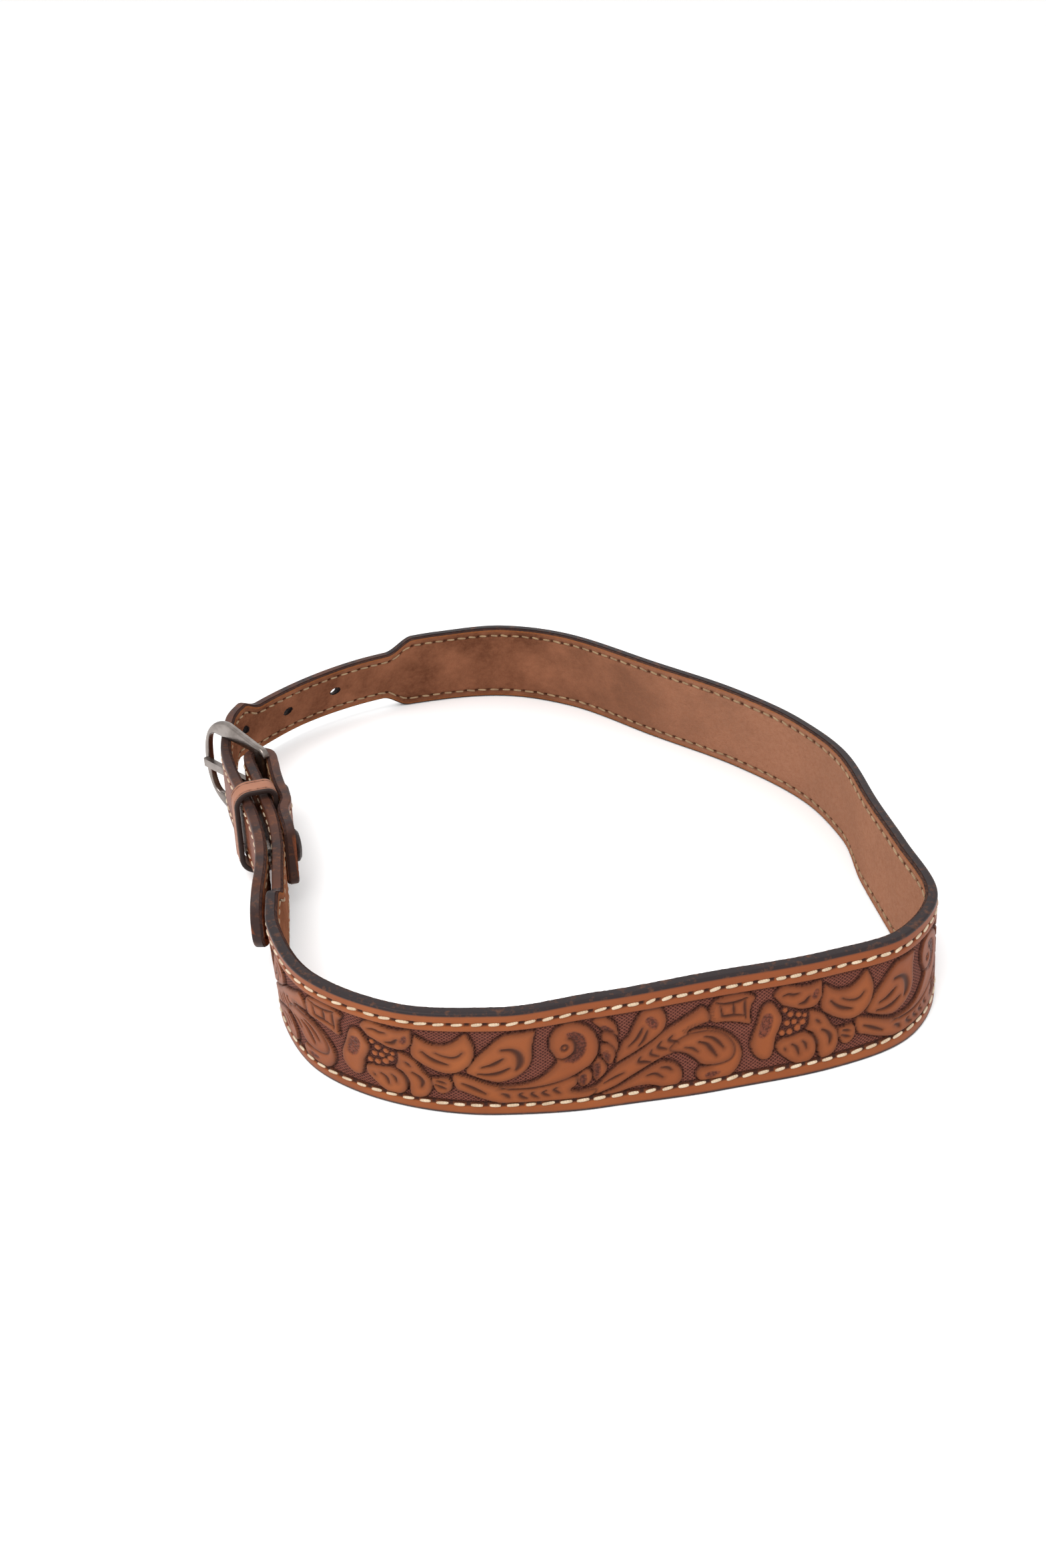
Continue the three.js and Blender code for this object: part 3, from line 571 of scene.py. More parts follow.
SHAPES = {
    "curl_band": ((319, 1), (322, 2.8), (326, 3.3), (330, 2.7), (334, 0.8), (337, -2), (338.7, -5),
        (339, -8), (338, -11), (335.8, -13.4), (333, -14.4), (327, -14.4), (324.8, -13), (324.5, -11),
        (325.8, -9.5), (329, -9.2), (330, -6), (322, -1)),
    "squares_band": ((328.6, 6), (329, 9), (330.5, 11.5), (334, 12.6), (338, 12.8), (341.5, 12),
        (343.4, 10.6), (342, 8), (341.8, 5), (341.6, 2.2), (338, 3.2), (334, 4.1), (330.4, 4.4)),
    "stem_right": ((296.5, -8), (300, -4.6), (303, -2.8), (307, -0.7), (311, 1.9), (314, 4.1), (317, 5.9),
        (320, 7.3), (323.5, 9), (326.6, 10.5), (328.6, 8.5), (328.8, 5.4), (326, 4.6), (322, 3),
        (324, -1), (326, -8.4), (324.6, -7.2), (322.4, -5.1), (320, -3.8), (317.5, -3.3), (314.5, -3.9),
        (311, -5.4), (308, -7), (304, -9.1), (300, -11.4), (295, -13.1), (288, -14), (286, -12),
        (290, -11.4), (294, -10.4)),
    "curl_leaf": ((316.5, -1.6), (318, -2.7), (320, -3.2), (322.4, -4.6), (324.4, -6.6), (326.2, -8.5),
        (329, -9.2), (332.4, -9.2), (335.2, -8.4), (336.5, -6.5), (336.4, -4), (334.8, -1.2),
        (332.4, 0.9), (329, 2.1), (325.5, 2.4), (322, 2), (319, 0.7)),
    "end_curl": ((296, -13.4), (300, -12.1), (304, -10), (308, -7.8), (311.5, -6), (314, -5.3),
        (317, -5.9), (319.3, -7.8), (320.4, -10.5), (319.7, -13), (317.5, -14.3), (314.5, -14.3),
        (311.5, -13.2), (308.5, -12.6), (304.5, -12.9), (300.5, -13.9), (297, -14.2)),
    "stem_left": ((253.2, -3.3), (256, -3.8), (260, -5.3), (264, -7), (268, -7.6), (273, -7.8),
        (279, -7.6), (284, -6.6), (287.5, -6.1), (288.7, -7.4), (288.2, -9.2), (286.6, -10.6),
        (290, -11.8), (294, -11.6), (292, -13.8), (286, -14.3), (276, -14.4), (268, -14.3), (264, -13.4),
        (260, -11.9), (256, -10), (253.6, -8.9), (252.6, -6)),
    "spiral": ((266, -7.7), (270, -7.5), (274, -6.8), (277.5, -5.4), (280.3, -3), (282.3, -0.2),
        (281.6, 2), (280.2, 5), (280.4, 8.5), (282, 11.2), (284.8, 12.5), (288, 12.4), (291, 11),
        (293.5, 8.5), (294.8, 5), (294.8, 1.5), (293.5, -1.6), (291, -3.9), (288, -5.5), (284, -7),
        (279, -8.2), (273, -8.7), (268, -8.4)),
    "scale_1": ((288.4, -6.4), (290, -4.7), (291.6, -4.1), (292.9, -5.5), (293, -7.5), (291.8, -9.3),
        (290, -10.1), (289.1, -9.4)),
    "scale_2": ((293.1, -3.2), (294.6, -0.8), (296.3, -1.9), (297.4, -4), (297.1, -6), (295.6, -7.7),
        (293.8, -8.7), (293.3, -6)),
    "scale_5": ((293, 11.6), (294.4, 12.9), (296.5, 12.8), (298.5, 11.6), (300, 9.8), (300.7, 7.5),
        (300.6, 5.4), (298.6, 7), (296.4, 7.6), (294.9, 9.4)),
    "scale_4": ((295.7, 7), (297.5, 7.5), (299.5, 6.2), (300.7, 4), (300.8, 1.5), (300.2, -0.2),
        (298.8, 1.6), (297.6, 3.6), (295.9, 4.8)),
    "scale_3": ((295.5, 3.3), (297, 3.7), (298.7, 2.6), (299.7, 0.9), (299.9, -1.2), (299.1, -3.1),
        (297.8, -3.6), (296.4, -1.8), (295.5, 0.5)),
    "bud_leaf": ((302.2, 3.6), (303.6, 4.7), (304.8, 7), (306, 9.6), (307.6, 12), (309.5, 13.1),
        (311.8, 13.2), (314, 12.2), (315.3, 10), (315.5, 7.5), (314.6, 5.3), (312.8, 3.6), (310, 1.7),
        (307, 0), (304, -1.6), (301, -3.1), (299.9, -3.7), (300.4, -0.5), (301.3, 1.6)),
    "pointed_leaf": ((265, 9.5), (267.5, 11.3), (271, 11.7), (275.9, 11.9), (275.8, 9.5), (275.3, 6),
        (275.3, 2.5), (274.5, -0.5), (272.5, -3), (269.5, -5), (266, -6), (262.5, -5.3), (259, -3.9),
        (256.6, -2.5), (256.9, -0.6), (258.6, 2), (260.5, 4.5), (262.8, 7)),
    "petal_right": ((236.3, 2.6), (238.5, 2.9), (241.5, 1.2), (243, -0.8), (244.2, -3), (246, -5.2),
        (246.8, -7.5), (246.4, -10.5), (244.8, -13), (242.2, -14), (240.2, -13.3), (239.4, -9),
        (238.2, -5), (235.9, -3.2), (236.7, -0.6)),
    "small_bud": ((246.6, -5.3), (248.2, -5.1), (250, -5), (251.9, -5.2), (252.7, -7.5), (252, -9.8),
        (250, -11.2), (248, -10.8), (247.1, -9), (246.7, -7)),
    "petal_left": ((226.4, -6), (226.6, -8.5), (228.5, -10.8), (231, -13), (233.5, -14.2), (237, -13.8),
        (239.1, -11.5), (239.6, -9), (239, -6.6), (237.2, -4.6), (234.5, -3.7), (231, -4.3),
        (228.5, -4.6)),
    "curved_leaf": ((242.2, 10.3), (244, 9.4), (246, 8.1), (249, 7.4), (252, 8.2), (254.1, 9.9),
        (255.8, 11.7), (256.9, 11.7), (258.2, 9.2), (259, 6), (258.5, 2.5), (257, -0.3), (254.5, -2.4),
        (251.5, -3.2), (248.5, -2.7), (245.5, -1.3), (243, 0.4), (241.1, 2.2), (240.8, 5), (241.5, 8)),
    "petal_top": ((226.2, 10.9), (228, 12.4), (231, 12.4), (234, 11.7), (237, 11.4), (239.5, 12),
        (241.2, 12.1), (241.4, 9), (241.1, 6.8), (239.5, 4.5), (237.5, 3.8), (234.2, 3.8), (231.8, 4.7),
        (229.8, 5.4), (228.1, 6.5), (226.6, 8.3), (225.7, 9.6)),
    "seed_bed": ((227.9, 4.7), (229.2, 5.7), (231.5, 4.7), (234, 3.7), (236.5, 3.1), (236.7, 0),
        (235.8, -2.5), (233, -3.9), (229.5, -4.4), (227.1, -3.4), (227.4, -0.8), (228.4, 2)),
    "petal_long": ((224.3, 8), (222.5, 7.3), (221.4, 5.5), (220.2, 1.5), (218.8, -2), (218.2, -5),
        (219, -8), (221, -10.2), (223, -10.8), (224.8, -9.8), (225.7, -7), (226.3, -3.5), (227.5, -0.8),
        (228.3, 2), (227.4, 4.5), (226, 7)),
}
# Sunk, stippled places: outlines as above
SHADES = (
    ((222.6, 4.4), (224.4, 4.5), (225.3, 3), (225, 0.5), (223.8, -2.3), (222.1, -3.3), (220.7, -2.2),
     (221.1, 0.5), (221.7, 2.8)),
    ((237.9, 6.9), (238.2, 8.4), (239.2, 9.9), (240, 9.4), (239.9, 7.6), (239.1, 6.5)),
    ((327, -12.4), (328, -11.5), (330, -11.4), (332, -11.9), (331, -12.8), (328.4, -13.4)),
    ((308.9, 9.6), (310.4, 10.4), (312, 9.4), (312.9, 7.6), (312.2, 5.9), (310.9, 6.3), (309.6, 7.8)),
    ((285.2, 9.2), (287.6, 9.3), (290, 8), (291.2, 5.5), (291, 2.5), (289.8, 0.3), (288, -1.1), (286, -1),
     (284.3, -0.2), (286.3, 0.9), (287.7, 2.3), (288.1, 4.3), (287.5, 6.4), (286, 7.5)),
    ((295, 9.2), (296.6, 8), (299.4, 7), (298.6, 8.6), (296.6, 10)),
    ((288.9, -6.8), (290.4, -5.6), (291.2, -7), (290.8, -9), (289.8, -9.4)),
    ((293.4, -3.4), (294.8, -2.4), (295.5, -4.6), (294.9, -7), (293.9, -7.8)),
    ((295.9, 0.6), (297, 0.8), (298.4, -0.6), (298, -2.6), (297, -2.2)),
)
# Cuts: half-width in millimetres, depth, then their points
CUTS = (
    (0.42, 0.5, ((228.5, 9.4), (230.2, 9.7), (231.8, 9.2), (233.7, 9.4))),
    (0.55, 0.55, ((233.7, 5.9), (235.6, 6.1), (237, 7.7))),
    (0.45, 0.5, ((231.2, -7), (232.8, -8.4), (233.6, -10.8))),
    (0.4, 0.45, ((234.7, -6.6), (235.6, -7.7), (236.1, -9.4))),
    (0.3, 0.3, ((228.9, -7.8), (229.4, -8.9))),
    (0.55, 0.55, ((237.2, -4.7), (238.8, -6.6), (239.5, -9), (239.2, -12))),
    (0.6, 0.6, ((241.1, -4.2), (242.9, -5.6), (243.9, -7.4), (243.6, -9.4))),
    (0.4, 0.4, ((239.1, -0.4), (240.5, -1.8))),
    (0.55, 0.6, ((244.1, 4.6), (246, 2.6), (248.2, 1.2), (251.3, 0.2))),
    (0.35, 0.4, ((247.9, 4.6), (250, 3.5), (252.5, 3), (254.3, 3.6), (255.6, 5.1))),
    (0.45, 0.45, ((248, -6.2), (250.6, -7))),
    (0.45, 0.45, ((247.6, -7.7), (249.1, -8.5), (250.6, -9.1))),
    (0.5, 0.55, ((255.4, -6.6), (258, -8), (262, -10.3))),
    (0.55, 0.55, ((261, -0.4), (263.5, 0.3), (265.3, 1.3), (267, 2.7))),
    (0.55, 0.55, ((259.8, -2.8), (263, -3.1), (266, -2.5), (268.8, -0.9))),
    (0.95, 0.4, ((266.6, 5.9), (269.3, 5.8), (271.2, 4.3), (271.9, 2), (271.6, 0), (270.8, -1.4))),
    (0.22, 0.3, ((265.4, -8.4), (270, -9), (275, -8.9), (280, -8.2), (284, -7.2))),
    (0.6, 0.4, ((266.8, -10.3), (268, -11), (268.8, -11.9))),
    (0.5, 0.5, ((272.4, -10.3), (271.7, -11), (272.6, -12), (273.7, -12.4))),
    (0.45, 0.5, ((275.7, -10.2), (275.1, -10.9), (276, -11.8), (277, -12.4))),
    (0.45, 0.5, ((279.2, -10), (278.3, -10.8), (279.2, -11.6), (280.2, -12))),
    (0.45, 0.5, ((282.4, -9.3), (281.6, -10), (282.4, -10.9), (283.3, -11.5))),
    (0.42, 0.6, ((282.6, 1), (284, 0.4), (286, 0.9), (287.6, 2.3), (288, 4.3), (287.3, 6.3),
        (285.8, 7.4))),
    (0.5, 0.45, ((303.8, 1.5), (306, 3.4), (307.3, 5.3), (308, 6.9))),
    (0.45, 0.4, ((306.8, 1.2), (308.4, 3), (309.6, 5.8))),
    (0.35, 0.45, ((296.4, -9.7), (299.5, -8.4), (302.3, -7.3))),
    (0.5, 0.5, ((307.3, -2.7), (306.9, -4.3), (308.4, -4.6), (310.4, -4.9))),
    (0.4, 0.4, ((310.7, -0.9), (310.6, -2.4), (312.9, -3.4))),
    (0.5, 0.5, ((313.7, 1.4), (312.9, -0.4), (315.3, -1.4))),
    (0.5, 0.5, ((317.1, 2.7), (316.3, 1.3), (319.1, 0.1))),
    (0.6, 0.6, ((325.4, -0.9), (327.8, -2.1), (329.3, -4), (330.9, -6.5))),
    (0.5, 0.55, ((327.3, 0.6), (329.6, -0.3), (331.5, -2), (333.2, -4.2))),
    (0.38, 0.4, ((321, -1.9), (323.3, -2.6), (325, -4))),
    (0.45, 0.45, ((313.6, -7.3), (315.6, -7.7), (316.9, -8.7))),
    (0.4, 0.45, ((309.3, -9.3), (311.8, -9.2), (314.2, -10.8))),
    (0.4, 0.5, ((331, 10.9), (333.5, 10.1), (337.5, 10.1), (340.6, 11))),
    (0.4, 0.5, ((332.3, 9.6), (332.8, 7), (333.2, 6.1), (336.5, 5.9), (339.9, 5.3))),
    (0.4, 0.45, ((336.4, 9.8), (336.5, 8), (336.6, 6.1))),
    (0.4, 0.45, ((340, 10.8), (339.9, 8), (340.2, 4.4))),
)
# Fringes: strokes across a line. Stroke length, count, then the line's points
FRINGES = (
    (1.5, 20, ((243.4, -0.9), (246, -2.6), (249, -3.7), (252, -4.1))),
    (2.3, 26, ((286.8, 8.6), (289, 7), (289.8, 4.4), (289, 1.5), (286.6, -0.2))),
    (1.6, 9, ((290.2, -5.6), (290.2, -7.4), (289.8, -9.2))),
    (1.6, 10, ((294.4, -2.2), (294.5, -4.8), (294, -7.4))),
    (1.5, 8, ((296.8, 1.2), (297.4, -0.4), (297.3, -2.4))),
    (1.4, 8, ((295.9, 8.8), (297.6, 7.9), (299.4, 7.2))),
    (1.3, 18, ((286.8, -11), (290, -11.2), (293, -10.6), (295.4, -9))),
    (1.7, 9, ((329.6, 9.8), (329.2, 7.6), (329.7, 5.2))),
    (1.1, 14, ((320.6, 3.5), (323, 4.7), (326, 4.9), (328.6, 4.4))),
)
# Seeds in the flower: along, up, radius
SEEDS = (
    (229.2, 4.6, 0.85), (230.9, 2.9, 0.95), (233.5, 2.3, 0.9), (235.5, 1.8, 0.8), (229.8, 0.2, 0.95),
    (232, 0.3, 0.95), (234.8, -0.3, 1.0), (228.2, -2.8, 0.95), (230.6, -2.8, 1.0), (233.1, -1.9, 1.1),
    (284.7, 4.3, 0.5),
)
SPIRAL_EYE = (284.7, 4.3, 1.5)


def smooth_line(points, closed, steps=7):
    """A Catmull-Rom line through the points, as many short chords."""
    points = np.asarray(points, float)
    if closed:
        around = np.vstack([points[-1], points, points[:2]])
    else:
        around = np.vstack([2 * points[0] - points[1], points, 2 * points[-1] - points[-2]])
    p0, p1, p2, p3 = (around[i:len(around) - 3 + i, None] for i in range(4))
    w = (np.arange(steps) / steps)[None, :, None]
    line = 0.5 * (2 * p1 + (p2 - p0) * w + (2 * p0 - 5 * p1 + 4 * p2 - p3) * w ** 2
                  + (3 * p1 - p0 - 3 * p2 + p3) * w ** 3)
    line = line.reshape(-1, 2)
    return line if closed else np.vstack([line, points[-1]])


def read_line(line, run, places):
    """Places along a line of points whose lengths so far are run."""
    return np.stack([np.interp(places, run, line[:, i]) for i in range(2)], -1)


def run_of(line):
    return np.concatenate([[0], np.cumsum(np.linalg.norm(np.diff(line, axis=0), axis=1))])


class Canvas:
    """Heights and marks of one repeat of the tooling, over a grid of places."""

    def __init__(self):
        self.columns = int(round(REPEAT_LENGTH / CANVAS_PITCH))
        self.along = REPEAT_START + np.arange(self.columns) * REPEAT_LENGTH / self.columns
        self.up = np.arange(FIELD_BOTTOM - CANVAS_MARGIN, FIELD_TOP + CANVAS_MARGIN, CANVAS_PITCH)
        self.x, self.y = np.meshgrid(self.along, self.up)
        self.height = np.full(self.x.shape, -GROUND_DEPTH)
        self.ground = np.ones(self.x.shape)
        self.dark = np.zeros(self.x.shape)
        self.shade = np.zeros(self.x.shape)

    def parts(self, line, reach):
        """The part of the grid round a line, and the line's place there, for each repeat it meets."""
        for shift in (-REPEAT_LENGTH, 0, REPEAT_LENGTH):
            moved = line + np.array([shift, 0])
            low = moved.min(0) - reach
            high = moved.max(0) + reach
            columns = np.flatnonzero((self.along >= low[0]) & (self.along <= high[0]))
            rows = np.flatnonzero((self.up >= low[1]) & (self.up <= high[1]))
            if len(columns) and len(rows):
                yield np.ix_(rows, columns), moved

    def distance(self, where, line, closed):
        """Distance to the line, place along it as a share, and whether a place is inside it."""
        x, y = self.x[where], self.y[where]
        ends = np.roll(line, -1, 0) if closed else line[1:]
        starts = line if closed else line[:-1]
        best = np.full(x.shape, np.inf)
        share = np.zeros(x.shape)
        inside = np.zeros(x.shape, bool)
        for index, (start, end) in enumerate(zip(starts, ends)):
            step = end - start
            size = max(step @ step, 1e-12)
            part = np.clip(((x - start[0]) * step[0] + (y - start[1]) * step[1]) / size, 0, 1)
            gap = (x - start[0] - part * step[0]) ** 2 + (y - start[1] - part * step[1]) ** 2
            closer = gap < best
            best = np.where(closer, gap, best)
            share = np.where(closer, (index + part) / len(starts), share)
            if closed and start[1] != end[1]:
                crosses = (start[1] > y) != (end[1] > y)
                at = start[0] + (y - start[1]) / (end[1] - start[1]) * step[0]
                inside ^= crosses & (x < at)
        return np.sqrt(best), share, inside

    def outlined(self, points, reach):
        """For each part of the grid round a closed outline: where, the gap, and whether inside."""
        for where, moved in self.parts(smooth_line(points, True), reach):
            gap, _, inside = self.distance(where, moved, True)
            yield where, gap, inside

    def discs(self, along, up, reach):
        """For each part of the grid round a place: where, and the gap to the place."""
        for where, moved in self.parts(np.array([[along, up]]), reach):
            yield where, np.hypot(self.x[where] - moved[0, 0], self.y[where] - moved[0, 1])

    def fill(self, where, inside, **values):
        """Gives the named grids new values inside, and leaves them as they are outside."""
        for name, value in values.items():
            grid = getattr(self, name)
            grid[where] = np.where(inside, value, grid[where])

    def darken(self, where, dark):
        self.dark[where] = np.maximum(self.dark[where], dark)

    def raise_shape(self, points):
        """A shape with a rounded rim, the ground beaten down beside it, its dark outline, and painted
        shade on its top near the rim.
        """
        for where, gap, inside in self.outlined(points, BEVEL_REACH):
            beside = self.height[where] - BEVEL_DEPTH * fade(gap, BEVEL_REACH) ** 1.4
            top = -RIM_DEPTH * fade(gap, RIM_REACH) ** 2 - CROWN_DEPTH * np.clip(gap / CROWN_REACH, 0, 1)
            self.height[where] = np.where(inside, top, np.maximum(beside, -GROUND_DEPTH - BEVEL_DEPTH))
            # Inside: the dark outline line, and painted shade fading over SHADOW_REACH toward the middle
            # of the top
            rim = np.maximum(LINE_DARK * fade(gap, LINE_REACH),
                             SHADOW_DARK * fade(gap, SHADOW_REACH) ** 1.4)
            self.darken(where, OUTSIDE_DARK * np.clip(1.15 - gap / 0.62, 0, 1))
            self.fill(where, inside, dark=rim, ground=0, shade=0)

    def sink_bed(self, points):
        for where, _, inside in self.outlined(points, CANVAS_PITCH):
            self.fill(where, inside, height=-SEED_BED_DEPTH, ground=1, dark=BED_DARK)

    def sink_shade(self, points):
        for where, gap, inside in self.outlined(points, 0.6):
            depth = smoothstep(np.where(inside, gap, -gap), -0.35, 0.45)
            self.height[where] -= SHADE_DEPTH * depth
            self.shade[where] = np.maximum(self.shade[where], depth * SHADE_MARK)

    def cut(self, half, depth, points):
        """A knife cut, widest past its middle, in a soft halo of painted shade."""
        half = half * CUT_WIDENING
        for where, moved in self.parts(smooth_line(points, False), half + 1.4):
            gap, share, _ = self.distance(where, moved, False)
            width = half * (0.38 + 0.62 * np.sin(np.pi * np.clip(share, 0.02, 0.98) ** 1.3))
            groove = dome(gap, width)
            self.height[where] -= depth * groove
            # Painted shade round the cut
            halo = HALO_SHADE * fade(gap, width + CUT_SHADE_REACH)
            self.darken(where, np.maximum(groove ** 0.5 * CUT_MARK, halo))

    def fringe(self, size, count, points):
        """Short strokes side by side across a line."""
        line = smooth_line(points, False)
        run = run_of(line)
        for place in np.linspace(0, run[-1], count):
            behind, here, ahead = read_line(line, run, place + np.array([-0.2, 0, 0.2]))
            tangent = (ahead - behind) / max(np.linalg.norm(ahead - behind), 1e-6)
            across = np.array([tangent[1], -tangent[0]]) * size / 2
            self.stroke(np.array([here - across, here, here + across]))

    def stroke(self, line):
        for where, moved in self.parts(line, STROKE_HALF + 0.1):
            gap, _, _ = self.distance(where, moved, False)
            groove = dome(gap, STROKE_HALF)
            self.height[where] -= STROKE_DEPTH * groove
            self.darken(where, groove * STROKE_DARK)

    def seed(self, along, up, radius):
        """A small ball with a dark ring."""
        radius = radius * SEED_SIZE
        for where, gap in self.discs(along, up, radius + 0.6):
            inside = gap < radius
            ring = fade(np.abs(gap - radius), SEED_RING)
            self.darken(where, ring)
            self.fill(where, inside, height=SEED_DOME * np.sqrt(dome(gap, radius)) - SEED_FOOT,
                      dark=ring * LINE_DARK, ground=0)

    def sink_disc(self, along, up, radius):
        for where, gap in self.discs(along, up, radius):
            depth = smoothstep(radius - gap, 0, 0.4)
            self.height[where] -= EYE_DEPTH * depth
            self.darken(where, depth * EYE_DARK)

    def sample(self, grid, along, up):
        """The grid's value at each place, read between its points."""
        column = ((along - REPEAT_START) % REPEAT_LENGTH) / REPEAT_LENGTH * self.columns
        row = np.clip((up - self.up[0]) / CANVAS_PITCH, 0, len(self.up) - 1.001)
        left, low = np.floor(column).astype(int), row.astype(int)
        across, above = column - left, row - low
        left, right = left % self.columns, (left + 1) % self.columns
        bottom = grid[low, left] * (1 - across) + grid[low, right] * across
        top = grid[low + 1, left] * (1 - across) + grid[low + 1, right] * across
        return bottom * (1 - above) + top * above


def draw_tooling():
    canvas = Canvas()
    for name, points in SHAPES.items():
        canvas.raise_shape(points)
        if name == "seed_bed":
            canvas.sink_bed(points)
    for points in SHADES:
        canvas.sink_shade(points)
    for half, depth, points in CUTS:
        canvas.cut(half, depth, points)
    for size, count, points in FRINGES:
        canvas.fringe(size, count, points)
    canvas.sink_disc(*SPIRAL_EYE)
    for seed in SEEDS:
        canvas.seed(*seed)
    return canvas


# The strap's face and lining

STITCH_START = 3.0
STITCH_PITCH = 5.08
STITCH_LENGTH = 3.4
STITCH_WIDTH = 1.05
STITCH_INSET = 3.95
STITCH_SINK = 0.12
GROOVE_DEPTH = 0.32
GROOVE_HALF = 0.85
NEEDLE_DEPTH = 0.35
NEEDLE_LENGTH = 1.0
NEEDLE_HALF = 0.62
NEEDLE_STEEPNESS = 1.6
EDGE_ROUND = 0.75
FACE_BENDS = (18, 36, 54, 72, 90)
LINING_BENDS = (25, 50, 75, 90)
BORDER_DEPTH = 0.3
PLAIN_LINE_INSET = 6.6
PLAIN_LINE_DEPTH = 0.16
TOOLED_COLUMNS = 104
PLAIN_COLUMNS = 56
LINING_COLUMNS = 46
TOOLED_STEP = 0.42
PLAIN_STEP = 0.7
FOLD_STEP = 0.4
LINING_STEP = 0.8
RUB_STEP = 4.7
LEAST_PAINT = 0.72
EDGE_FADE = 0.55
BACK_GAP_CUT = 0.02
FUZZ = 0.07
EDGE_WOBBLE = 0.03
SUEDE_GROOVE = 0.8
SUEDE_STRIP_FADE = 1.0, 0.2
PATTERN_SCALE = 0.1
# Stitches: scatter of size, mean and scatter of tilt, scatter of place, height
SIZE_SCATTER = 0.06
TILT = 0.16
TILT_SCATTER = 0.1
PLACE_SCATTER = 0.12
STITCH_HEIGHT = 0.42
NARROWEST = BILLET_WIDTH / 2 - 0.6


def around_nearest(place, pitch):
    """How far a place is past the nearest multiple of the pitch."""
    return (place + pitch / 2) % pitch - pitch / 2


def stitch_groove(length, up, half):
    """How deep the stitch groove is at a place, and how much painted shade darkens its needle holes."""
    beside = np.abs(np.abs(up) - (half - STITCH_INSET))
    past = around_nearest(length - STITCH_START, STITCH_PITCH)
    hole_along, hole_across = (np.minimum(NEEDLE_STEEPNESS * dome(gap, reach), 1)
                               for gap, reach in ((past, NEEDLE_LENGTH), (beside, NEEDLE_HALF)))
    hole = hole_along * hole_across
    return dome(beside, GROOVE_HALF) * GROOVE_DEPTH + NEEDLE_DEPTH * hole, hole


def tooled_surface(canvas, length, up, half):
    """Rise, ground, dark and shade of the tooled field with its border line."""
    narrowing = STRAP_WIDTH / 2 - half
    chart = up - FIELD_SHIFT
    from_side = np.minimum(FIELD_TOP - narrowing - chart, chart - FIELD_BOTTOM - narrowing)
    from_end = np.minimum(length - NEAR_SHOULDER, FAR_SHOULDER - length) - FIELD_END
    inset = np.minimum(from_side, from_end)
    field = smoothstep(inset, -0.15, 0.2)
    border = dome(inset, 0.5)
    relief, ground, dark, shade = (field * canvas.sample(grid, length, chart) for grid in (
        canvas.height, canvas.ground, canvas.dark, canvas.shade))
    return relief - BORDER_DEPTH * border, ground, np.maximum(dark, border * BORDER_DARK), shade


def plain_surface(up, half):
    """Rise, ground, dark and shade of a plain end with its creased line."""
    line = dome(np.abs(up) - (half - PLAIN_LINE_INSET), 0.35)
    return -PLAIN_LINE_DEPTH * line, 0, line * 0.45, 0.55


def closed_section(rise, up, half, back, bends, levels, wobble=0):
    """Out and up of the points round the section: the side, its upper edge, then its lower edge."""
    bend = np.radians(bends)
    down = np.linspace(SURFACE - EDGE_ROUND, back, levels + 1)[1:]
    edge_out = np.concatenate([SURFACE - EDGE_ROUND * (1 - np.cos(bend)), down])
    edge_up = np.concatenate([EDGE_ROUND * np.sin(bend), np.full(levels, EDGE_ROUND)])
    edges = [np.broadcast_to(edge, (len(up), len(edge))) for edge in (edge_out, edge_out[::-1])]
    out = np.concatenate([SURFACE + rise, *edges], 1)
    flat = half - EDGE_ROUND
    return out, np.concatenate([up, flat + edge_up + wobble, -(flat + edge_up[::-1])], 1)


def strip_piece(name, lengths, side, out, up, marks, material, angle):
    """A length of leather on the outer (1) or inner (-1) side, from its sections."""
    length = np.broadcast_to(lengths[:, None], out.shape)
    faces = [face[::side] for face in tube_faces(*out.shape)]
    uvs = np.stack([length, up], -1) * PATTERN_SCALE
    return make_piece(name, wall(length, side * out, up), faces, material, marks, uvs, angle)


def face_piece(name, lengths, material, canvas=None):
    """A length of the face leather, tooled if it has a canvas: outer side, painted edges, back."""
    half = half_width(lengths)[:, None]
    columns = TOOLED_COLUMNS if canvas else PLAIN_COLUMNS
    up = np.linspace(-1, 1, columns) * (half - EDGE_ROUND)
    length = np.broadcast_to(lengths[:, None], up.shape)
    worn = 1
    if canvas:
        rise, ground, dark, shade = tooled_surface(canvas, length, up, half)
    else:
        rise, ground, dark, shade = plain_surface(up, half)
        rubs = rng.random(int(route.length / RUB_STEP) + 1)
        edge_rub_and_right_side = np.interp(lengths, np.arange(0, route.length, RUB_STEP), rubs)[:, None]
        worn = LEAST_PAINT + (1 - LEAST_PAINT) * edge_rub_and_right_side
    groove, hole = stitch_groove(length, up, half)
    back = LINING_THICKNESS - SURFACE - BACK_GAP_CUT
    out, high = closed_section(rise - groove, up, half, back, FACE_BENDS, 3)
    marks = np.zeros(out.shape + (4,))
    # The dark mark also takes the needle holes' painted shade
    for index, value in enumerate((ground, np.maximum(dark, hole), shade)):
        marks[:, :columns, index] = value
    flat = half - EDGE_ROUND
    marks[..., 3] = smoothstep(np.abs(high), flat - EDGE_FADE, flat) * worn
    marks[:, columns:, 3] = worn
    return strip_piece(name, lengths, 1, out, high, marks, material, 75)


